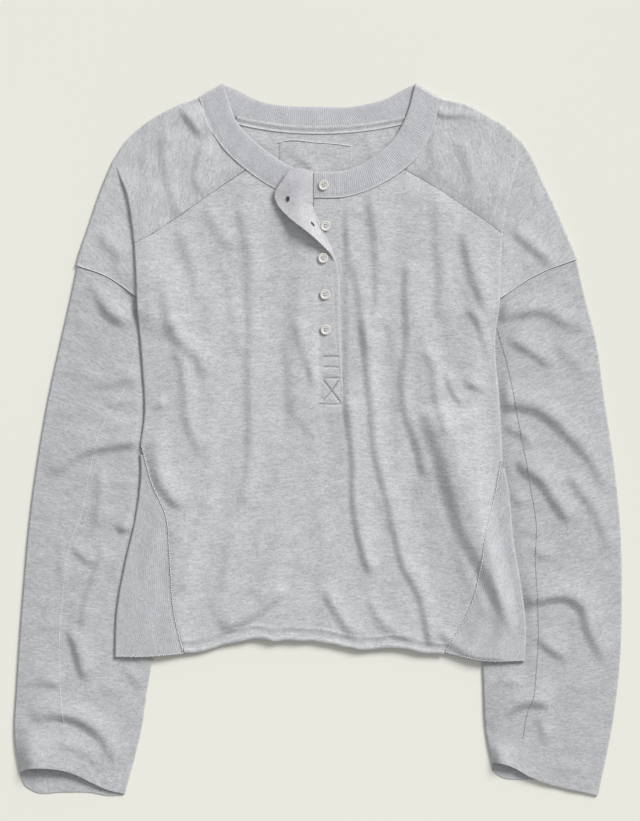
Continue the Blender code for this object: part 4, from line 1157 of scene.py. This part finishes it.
def sleeve_top(side, sign, x, y, across, share):
    """Middle of the wall of a sleeve's upper layer."""
    body = join(BODY_EDGE[side], GUSSET_EDGE[side])
    flat = SLEEVE_WALL * 1.5 + SLEEVE_AIR
    belly = np.sin(np.pi * np.clip(across, 0.004, 0.996)) ** 0.7
    opening = smooth(1 - MOUTH_REACH, 1, share)
    clear = np.maximum(smooth(0, 11, sign * (x_at(body, y) - x)), 1 - smooth(-230, -214, y))
    clear = clear * smooth(0, 0.05, share) * belly
    folds = fold_height(SLEEVE_FOLDS[side], x, y) * (1 - 0.5 * opening)
    across_folds = drape(y + x * sign * 0.6, x, 20, 70, 21)
    loose = SLEEVE_PUFF + folds + DRIFT * (1 + drift(x, y, 6)) + 0.9 * (0.4 + across_folds)
    return flat + clear * loose + opening * mouth_curve(MOUTH[side].open, across)


def sleeve_surface(side, sign):
    """Height of the top of a sleeve at x, y, for what lies on it."""
    rows = np.array(SLEEVE[side], float)

    def height(x, y):
        shares = fractions(60)
        ring = along(rows, shares)
        x, y = np.asarray(x, float), np.asarray(y, float)
        across, share = np.zeros(x.shape), np.zeros(x.shape)
        for k in range(len(x)):
            run = ring[:, 2:] - ring[:, :2]
            off = np.array([x[k], y[k]]) - ring[:, :2]
            cross = run[:, 0] * off[:, 1] - run[:, 1] * off[:, 0]
            order = np.argsort(cross)
            share[k] = np.interp(0.0, cross[order], shares[order])
            at = along(rows, share[k])[0]
            span = at[2:] - at[:2]
            across[k] = np.dot([x[k] - at[0], y[k] - at[1]], span) / np.dot(span, span)
        return sleeve_top(side, sign, x, y, across, share) + SLEEVE_WALL / 2
    return height


def make_sleeve(side, sign, materials):
    shares = steps(SLEEVE_LONG, 2.5, start=(0.6, 1.4), end=(0.6, 1.4))
    ring = along(SLEEVE[side], shares)
    across = steps(SLEEVE_WIDE, 2.5, start=(0.4, 1.0, 1.8), end=(0.4, 1.0, 1.8))[1:-1]
    outer, inner = ring[:, None, :2], ring[:, None, 2:]
    grid = outer + (inner - outer) * across[None, :, None]
    share = np.broadcast_to(shares[:, None], grid.shape[:2])
    spread = np.broadcast_to(across[None, :], grid.shape[:2])
    x, y = grid[..., 0], grid[..., 1].copy()
    y += armhole_bow(side, x) * (1 - smooth(0, 0.05, share))
    high = sleeve_top(side, sign, x, y, spread, share)
    mouth = MOUTH[side]
    opening = smooth(1 - MOUTH_REACH, 1, share)
    low = SLEEVE_WALL / 2
    rim_z = (low + SLEEVE_WALL * 1.5 + SLEEVE_AIR) / 2
    upper = np.stack([x, y + opening * mouth_curve(mouth.front, spread), high], axis=-1)
    under = np.stack([x, y + opening**3 * mouth_curve(mouth.back, spread), np.full(x.shape, low)], axis=-1)
    edge_out = np.dstack([outer, np.full(outer.shape[:2], rim_z)])
    edge_in = np.dstack([inner, np.full(inner.shape[:2], rim_z)])
    points = np.concatenate([edge_out, upper, edge_in, under[:, ::-1], edge_out], axis=1)
    around = np.concatenate([[0], across, [1], 2 - across[::-1], [2]]) * SLEEVE_WIDE
    build = Build(f"sleeve_{side}_cloth")
    build.grid(points, np.stack(np.broadcast_arrays(around, (shares * SLEEVE_LONG)[:, None]), axis=-1))
    declare(build.make(materials, SLEEVE_WALL, 0.25), "sleeve_" + side)


def collar_rows():
    """Rows across the band: seam x, y, z, free x, y, z, and how far along the band each lies."""
    folds = [k for k, row in enumerate(COLLAR) if row.place == "fold"]
    stretches = ((COLLAR[:folds[0] + 1], "right"), (COLLAR[folds[0]:folds[1] + 1], "back"),
                 (COLLAR[folds[1]:], "left"))
    rows = []
    for stretch, half in stretches:
        flat = []
        for row in stretch:
            low = high = COLLAR_HALF + 0.05
            if half != "back":
                panel = float(front_z(row.seam_x, row.seam_y, half, folds=False))
                low = panel + COLLAR_HALF - JERSEY / 2 + 0.2
                high = low + COLLAR_TILT
            flat.append((row.seam_x, row.seam_y, low, row.free_x, row.free_y, high))
        flat = np.array(flat)
        for end, inner in ((0, 1), (-1, -2)):
            if stretch[end].place == "fold":
                for n in (0, 1, 3, 4):
                    flat[end, n] += (flat[inner, n] - flat[end, n]) * COLLAR_TURN
        middle = (flat[:, :2] + flat[:, 3:5]) / 2
        count = round(length(middle) / RIB_PITCH) * 4
        rows.append(along(flat, fractions(count)))
    turned = [rows[0]]
    for before, after in zip(rows, rows[1:]):
        a, b = before[-1], after[0]
        out = (a + b) / 2 - (before[-6] + after[5]) / 2
        push = np.zeros(6)
        for n, reach in ((0, 3.0), (3, 1.8)):
            way = out[n:n + 2] / np.linalg.norm(out[n:n + 2])
            push[n:n + 2] = way * reach
        turn = []
        for angle in np.radians([60, 30, 0, -30, -60]):
            share = (1 - math.sin(angle)) / 2
            turn.append(a + (b - a) * share + push * math.cos(angle))
        turned += [np.array(turn), after]
    return np.concatenate(turned)


def make_collar(materials):
    rows = collar_rows()
    middle = (rows[:, :3] + rows[:, 3:]) / 2
    reach = np.concatenate([[0], np.cumsum(np.linalg.norm(np.diff(middle, axis=0), axis=1))])
    ribs = np.cos(2 * math.pi * reach / RIB_PITCH)
    grid, uv = [], []
    run = np.gradient(middle, axis=0)
    run /= np.linalg.norm(run, axis=1)[:, None]
    over = rows[:, 3:] - rows[:, :3]
    wide = np.linalg.norm(over, axis=1)
    start = rows[:, :3] - over * (COLLAR_LAP / wide)[:, None]
    over = rows[:, 3:] - start
    wide = wide + COLLAR_LAP
    face = np.cross(over / wide[:, None], run)
    face /= np.linalg.norm(face, axis=1)[:, None]
    loop = [(s, 1) for s in COLLAR_SHARES] + [(s, -1) for s in COLLAR_SHARES[-2::-1]]
    for s, way in loop:
        thick = COLLAR_HALF * max(0.0, 1 - abs(2 * s - 1) ** 7) ** 0.5
        relief = RIB_DEPTH * 0.5 * ribs * smooth(0.05, 0.16, s) * (1 - 0.7 * smooth(0.86, 1.0, s))
        groove = -0.35 * math.exp(-((s - 0.115) / 0.03) ** 2)
        lift = (thick + groove * (way > 0) + relief) * way
        grid.append(start + over * s + face * np.reshape(lift, (-1, 1)))
        uv.append(np.column_stack([np.full(len(reach), s * 26 + (0 if way > 0 else 60)), reach]))
    points = np.stack(grid, axis=1)
    build = Build("collar_band")
    build.grid(points, np.stack(uv, axis=1))
    for end, order in ((0, 1), (-1, -1)):
        cap = points[end]
        n = len(cap) - 1
        faces = [(k, k + 1, n - k - 1, n - k)[::order] for k in range(len(COLLAR_SHARES) - 1)]
        build.solid(cap, faces)
    declare(build.make(materials), "collar")


def back_band(shares):
    return along([(row.seam_x, row.seam_y) for row in COLLAR if row.place == "back"], shares)


def make_tape(materials):
    """Strip over the back neck seam: a soft hollow band with a fine piping along its lower edge."""
    line = back_band(np.linspace(*TAPE_ENDS, 150))
    heights = [2 * COLLAR_HALF - 0.4 + up - TAPE_FALL * (off < -1.2) for off, up in TAPE_PROFILE]
    points = np.stack([np.column_stack([line + normals(line) * off, np.full(len(line), z)])
                       for (off, _), z in zip(TAPE_PROFILE, heights)])
    build = Build("neck_tape_cloth")
    build.grid(points, np.stack([np.column_stack([line[:, 0], np.full(len(line), off)])
                                 for off, _ in TAPE_PROFILE]))
    declare(build.make(materials, 0.4), "neck_tape")


def patch_z(x, y):
    return back_z(x, y) + neck_relief(x, y) + JERSEY / 2 + 0.25


def bent_patch(x, y):
    """The patch lies a little askew, with a bowed top."""
    return y - 0.055 * (x + 2) + 1.5 * np.cos((x + 2) / 24) - 1.2


def on_patch(x, y):
    return patch_z(x, y) + 0.2


def bent(points):
    return [(x, float(bent_patch(x, y))) for x, y in points]


def make_patch(materials):
    x, y = np.meshgrid(np.linspace(*PATCH_X, 46), np.linspace(*PATCH_Y, 24))
    y = bent_patch(x, y)
    build = Build("neck_patch_cloth")
    z = patch_z(x, y)
    z[:, [0, -1]] -= PATCH_SINK
    build.cloth(np.dstack([x, y, z]), 4)
    declare(build.make(materials, 0.3, 0.1), "neck_patch")


def stand_z(y):
    return front_z(np.full(np.shape(y), 12.0), y, "stand", folds=False)


def make_stand(materials):
    v = steps(STAND_LONG, FINE_STEP)
    right = along([(20.0, 232.2)] + shifted(STAND_SEAM[1:-1], dx=0.1) + [(23.6, 46)], v)
    left = np.column_stack([np.full(len(right), STAND_LEFT), right[:, 1]])
    s = steps(STAND_WIDE, FINE_STEP)
    points = np.stack([np.column_stack([left + (right - left) * k, stand_z(right[:, 1])]) for k in s], axis=1)
    build = Build("placket_under_cloth")
    build.cloth(points, 2)
    declare(build.make(materials, DOUBLED, 0.4), "placket_under")


def flap_point(v, u):
    """x, y, z on the flap: v runs from its foot to its top, and u from its fold to its free edge."""
    v, u = np.asarray(v, float), np.asarray(u, float)
    fold, edge = along(FLAP_FOLD, v), along(FLAP_EDGE, v)
    grid = between(np.repeat(fold[:1], len(u), axis=0), along(FLAP_TOP, u), fold, edge, u, v)
    x, y = grid[..., 0], grid[..., 1]
    over_collar = FLAP_CLEAR * smooth(-15, 4, nearest(COLLAR_SEAM["right"], x, y)[0])
    stands = np.interp(v, *FLAP_STANDS)
    stands = np.convolve(np.pad(stands, 3, mode="edge"), np.ones(7) / 7, mode="valid")[:, None]
    root = 1.1 + 0.9 * smooth(0, 0.25, v)[:, None]
    z = front_z(x, y, "right", folds=False) + over_collar + root + stands * u[None, :] ** 0.85
    z = z + 0.7 * (np.sin(np.pi * u)[None, :] * smooth(0.1, 0.4, v)[:, None])
    return with_z(grid, z)


def make_flap(materials):
    """Corner of the right front turned out, with the end of the collar band, and the roll at its fold."""
    v, u = steps(FLAP_LONG, 1.2), steps(FLAP_WIDE, 1.1, end=(0.4, 0.9))
    top = flap_point(v, u)
    fold = top[:, 0]
    out = normals(fold)
    swell = 1.5 * smooth(0, 0.15, v)[:, None]
    roll = []
    for angle in np.radians([-110, -80, -50, -20, 10, 40, 65]):
        roll.append(np.column_stack([fold[:, :2] - out * swell * math.cos(angle),
                                     fold[:, 2] - swell[:, 0] * (1 - math.sin(angle))]))
    whole = np.concatenate([np.stack(roll, axis=1), top], axis=1)
    build = Build("flap_cloth")
    split = np.searchsorted(v, 0.66)
    build.cloth(whole[:split + 1], 90)
    build.cloth(whole[split:], 20, 1)
    obj = build.make(materials, FLAP_WALL, 0.55, upright=True)
    obj.modifiers["wall"].material_offset = 2
    obj.modifiers["wall"].material_offset_rim = 2
    declare(obj, "placket_facing")


def make_flap_threads(thread, shade):
    """Stitching along the flap's free edge, and its two buttonholes: near-black discs of painted shade for the
    openings, ringed with thread.
    """
    build = Build("flap_stitches")
    line = np.array([flap_point([a, a + 1e-3], [0.95])[0, 0] for a in steps(FLAP_LONG, 1.2)[2:-2]])
    line[:, 2] += 0.75
    for k in range(0, len(line) - 3, 3):
        build.thread(line[k:k + 3] + [0, 0, 0.1], 0.2)
    holes = Build("flap_buttonhole_painted_shade")
    for (cx, cy), (half_long, half_wide), lean in BUTTONHOLES:
        way = np.array([math.cos(math.radians(lean)), math.sin(math.radians(lean))])
        side = np.array([-way[1], way[0]])
        ring = [np.array([cx, cy]) + way * half_long * math.cos(a) + side * half_wide * math.sin(a)
                for a in np.linspace(0, 2 * math.pi, HOLE_SIDES + 1)[:-1]]
        # The disc is painted shade: a near-black sheet standing for the dark inside of the hole.
        z = [flap_top_at(*p) + 0.14 for p in ring]
        disc = [(cx, cy, flap_top_at(cx, cy) + 0.14)] + [(p[0], p[1], h) for p, h in zip(ring, z)]
        holes.solid(disc, [(0, k + 1, (k + 1) % HOLE_SIDES + 1) for k in range(HOLE_SIDES)])
        for k in range(HOLE_SIDES):
            p, q = ring[k] - np.array([cx, cy]), z[k]
            inner, outer = ring[k] - 0.06 * p, ring[k] + p / np.linalg.norm(p) * 0.5
            path = [(*inner, q - 0.05), (*((inner + outer) / 2), q + 0.16), (*outer, q - 0.1)]
            build.thread(path, 0.15)
    build.sew(thread)
    holes.sew(shade)


def flap_top_at(x, y):
    """Height of the top of the flap at a point inside it, from the plane through the points around it."""
    grid = flap_point(np.linspace(0, 1, 47), np.linspace(0, 1, 25)).reshape(-1, 3)
    around = grid[np.argsort((grid[:, 0] - x) ** 2 + (grid[:, 1] - y) ** 2)[:9]]
    plane = np.linalg.lstsq(np.column_stack([around[:, :2], np.ones(9)]), around[:, 2], rcond=None)[0]
    return float(plane @ [x, y, 1] + FLAP_WALL / 2 * math.sqrt(1 + plane[0] ** 2 + plane[1] ** 2))


def blank(name, bm):
    """An object made of a bmesh, which it frees."""
    mesh = bpy.data.meshes.new(name)
    bm.to_mesh(mesh)
    bm.free()
    made = bpy.data.objects.new(name, mesh)
    bpy.context.scene.collection.objects.link(made)
    return made


def button_mesh(material):
    """Turned disc with a raised rim and a dished middle, cut by four thread holes."""
    bm = bmesh.new()
    verts = [bm.verts.new((r * MM, 0, z * MM)) for r, z in BUTTON_PROFILE]
    edges = [bm.edges.new(pair) for pair in zip(verts, verts[1:])]
    bmesh.ops.spin(bm, geom=verts + edges, cent=(0, 0, 0), axis=(0, 0, 1), angle=2 * math.pi, steps=48)
    bmesh.ops.remove_doubles(bm, verts=bm.verts, dist=MERGE)
    bmesh.ops.recalc_face_normals(bm, faces=bm.faces)
    disc = blank("button_blank", bm)
    bm = bmesh.new()
    for x in (-HOLE_OFF, HOLE_OFF):
        for y in (-HOLE_OFF, HOLE_OFF):
            made = bmesh.ops.create_cone(bm, cap_ends=True, segments=16, radius1=THREAD_HOLE * MM,
                                         radius2=THREAD_HOLE * MM, depth=8 * MM)
            bmesh.ops.translate(bm, verts=made["verts"], vec=(x * MM, y * MM, 0))
    drill = blank("button_drill", bm)
    disc.modifiers.new("holes", "BOOLEAN").object = drill
    made = bpy.data.meshes.new_from_object(disc.evaluated_get(bpy.context.evaluated_depsgraph_get()))
    bpy.data.objects.remove(disc)
    bpy.data.objects.remove(drill)
    made.materials.clear()
    made.materials.append(material)
    made.shade_smooth()
    made.set_sharp_from_angle(angle=math.radians(50))
    return made


def make_buttons(resin, thread):
    mesh = button_mesh(resin)
    for number, degrees in enumerate(BUTTON_TURNS, start=1):
        low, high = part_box(f"button_{number}")
        obj = bpy.data.objects.new(f"button_{number}_resin", mesh)
        obj.location = ((low[0] + high[0]) / 2, (low[1] + high[1]) / 2, low[2])
        obj.rotation_euler = (0, 0, math.radians(degrees))
        bpy.context.scene.collection.objects.link(obj)
        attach(obj, "root")
        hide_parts(f"button_{number}")
        build = Build(f"button_{number}_thread")
        turn, base = Matrix.Rotation(obj.rotation_euler[2], 3, "Z"), Vector(obj.location) / MM
        for off in (-HOLE_OFF, HOLE_OFF):
            for lean in (-0.14, 0.14):
                line = [(-1.15, off + lean, 0.9), (-1.1, off + lean, 1.6), (-0.5, off, 1.95),
                        (0.5, off, 1.95), (1.1, off - lean, 1.6), (1.15, off - lean, 0.9)]
                build.thread([tuple(base + turn @ Vector(p)) for p in line], 0.2)
        build.sew(thread)


def make_seam_edges(thread, dark):
    """Raised beads along the seam edges at the armholes, under the collar band and along the neck tape's
    piping, coloured pale as painted highlight where these edges catch the light, and a dark bead of painted
    shadow where the turned-out corner meets the end of the band."""
    rows = collar_rows()
    for side, sign in SIDES:
        build = Build(f"armhole_{side}_edge")
        x = np.linspace(DROP_EDGE[side][-1][0] + sign * 0.6, CREASE[side][-1][0] - sign * 1.5, 60)
        y = armhole_y(side, x) + armhole_bow(side, x) + SEAM + 0.5
        z = back_z(x, y) + LAYER + JERSEY / 2 + drop_relief(side, x, y)
        # Painted highlight: the armhole seam's raised edge is a bead of pale thread colour.
        build.thread(np.column_stack([x, y, z + 0.15]), EDGE_HIGHLIGHT)
        build.sew(thread)
        build = Build(f"collar_{side}_edge")
        front = rows[(rows[:, 2] > 2.5) & (rows[:, 0] * sign < 0)][6:-3]
        spots = front[:, :3] + (front[:, 3:] - front[:, :3]) * 0.012
        # Painted highlight: a pale bead on the collar band's folded lower edge.
        build.thread(spots + [0, 0, COLLAR_HALF * 0.72], EDGE_HIGHLIGHT)
        build.sew(thread)
    build = Build("neck_tape_piping_highlight")
    line = back_band(np.linspace(*TAPE_ENDS, 150))
    line = (line - TAPE_PIPING_OFF * normals(line))[2:-2]
    # Painted highlight: a pale bead on the crest of the tape's piping.
    build.thread(np.column_stack([line, np.full(len(line), TAPE_PIPING_TOP)]), 0.34)
    build.sew(thread)
    # Painted shadow: a dark bead along the flap's fold, where the end of the band shades the flap.
    build = Build("flap_fold_painted_shadow")
    fold = flap_point(np.linspace(0.62, 0.97, 30), [0.0, 0.01])[:, 0]
    build.thread(fold + [FLAP_WALL / 2 + 1.55, 0, -0.3], 0.45)
    build.sew(dark)


def on_front(side, folds=True):
    """Height of the top of the front, for what lies on it."""
    return lambda x, y: front_z(x, y, side, folds) + JERSEY / 2


def make_threads(thread, dark):
    """Stitches of every seam that shows. The placket's, the yoke's and the wearer's left sleeve's stitches are
    drawn in the darkened seam thread, which is painted shade.
    """
    build = Build("placket_stitches")
    for path, deep in PLACKET_LINES:
        if deep > SHALLOW:
            add_stitches(build, path, on_front("right"), 2.4, 0.6, 0.3, deep * 0.75)
    build.sew(dark)
    for side, sign in SIDES:
        build = Build(f"gusset_{side}_stitches")
        add_stitches(build, GUSSET_SEAM[side], on_front(side), 2.2, 0.7, 0.5, -0.3, 0.25)
        add_stitches(build, shifted(GUSSET_HEM[side], dy=0.9), on_front(side), 2.1, 0.9, 0.42, -0.1, 0.3)
        build.sew(thread)
        build = Build(f"sleeve_{side}_stitches")
        add_stitches(build, SLEEVE_SEAM[side], sleeve_surface(side, sign), 2.6, 0.5, 0.34, 0.12, 0.15)
        build.sew(thread if side == "right" else dark)
        build = Build(f"yoke_{side}_stitches")
        seam = np.array(YOKE_SEAM[side], float)
        add_stitches(build, seam + normals(seam) * (-0.2), on_front(side, False), 2.8, 1.2, 0.26, 0.55)
        build.sew(dark)
    build = Build("patch_stitches")
    add_bead(build, bent(PATCH_STITCHES[0]), on_patch, 0.5)
    for path in PATCH_STITCHES[1:]:
        add_stitches(build, bent(path), on_patch, 2.2, 1.0)
    build.sew(thread)


# ---------------------------------------------------------------- floor, light and camera
def make_stage():
    bpy.ops.mesh.primitive_plane_add(size=8)
    floor = bpy.context.object
    floor.name = "floor"
    floor.data.materials.append(floor_material())


def make_light():
    """One broad, soft light from beyond the wearer's left shoulder, and an even sky."""
    world = bpy.data.worlds.new("studio")
    bpy.context.scene.world = world
    world.use_nodes = True
    sky = world.node_tree.nodes["Background"]
    sky.inputs["Color"].default_value = (0.985, 0.99, 1.0, 1)
    sky.inputs["Strength"].default_value = SKY
    lamp = bpy.data.lights.new("key", "SUN")
    lamp.energy = KEY
    lamp.angle = math.radians(KEY_SPREAD)
    key = bpy.data.objects.new("key", lamp)
    turn, height = math.radians(KEY_AZIMUTH), math.radians(KEY_HEIGHT)
    towards = Vector((math.cos(turn) * math.cos(height), math.sin(turn) * math.cos(height), math.sin(height)))
    key.rotation_euler = towards.to_track_quat("Z", "Y").to_euler()
    bpy.context.scene.collection.objects.link(key)


def make_camera():
    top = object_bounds()[1][2]
    lens = bpy.data.cameras.new("camera")
    camera = bpy.data.objects.new("camera", lens)
    bpy.context.scene.collection.objects.link(camera)
    lens.sensor_fit = "VERTICAL"
    lens.sensor_height = SENSOR
    lens.lens = SENSOR * (CAMERA_AT[2] - top) / VIEW_HEIGHT
    camera.location = CAMERA_AT
    bpy.context.scene.camera = camera
    bpy.context.scene.view_settings.view_transform = "Standard"


def main():
    jersey = cloth_material("jersey_heather", HEATHER, 0.22)
    shade = cloth_material("buttonhole_shade", (0.06, 0.06, 0.065), 0.1)
    sleeve = cloth_material("sleeve_heather_painted_shade", SLEEVE_SHADED_GREY, 0.22)
    gusset = cloth_material("gusset_heather", GUSSET_GREY, 0.17, (190, 420), ribs=0.05)
    rib = cloth_material("rib_heather", RIB_GREY, 0.14, (200, 620), ribs=0.14)
    facing = cloth_material("facing_heather", FACING_GREY, 0.13, (150, 420), bump=0.25)
    turned = cloth_material("band_heather", BAND_GREY, 0.14, (170, 480), bump=0.25)
    # Pale thread, which also colours the seam edges' beads as painted highlight.
    thread = cloth_material("thread", THREAD, 0.06, (900, 1800))
    # Seam thread in the jersey's colour darkened to 0.55: painted shade for the dark lines of stitching
    # grooves and seams.
    dark = cloth_material("seam_thread_painted_shade", scaled(HEATHER, 0.55), 0.1, (900, 1800))
    resin = button_material()
    make_camera()
    make_stage()
    make_light()
    make_front([jersey])
    make_back([jersey])
    for side, sign in SIDES:
        make_yoke(side, sign, [jersey])
        make_gusset(side, sign, [gusset])
        make_sleeve(side, sign, [sleeve])
    make_collar([rib])
    make_tape([jersey])
    make_patch([jersey])
    make_stand([jersey])
    make_flap([facing, turned, jersey])
    make_flap_threads(thread, shade)
    make_seam_edges(thread, dark)
    make_buttons(resin, thread)
    make_threads(thread, dark)


main()
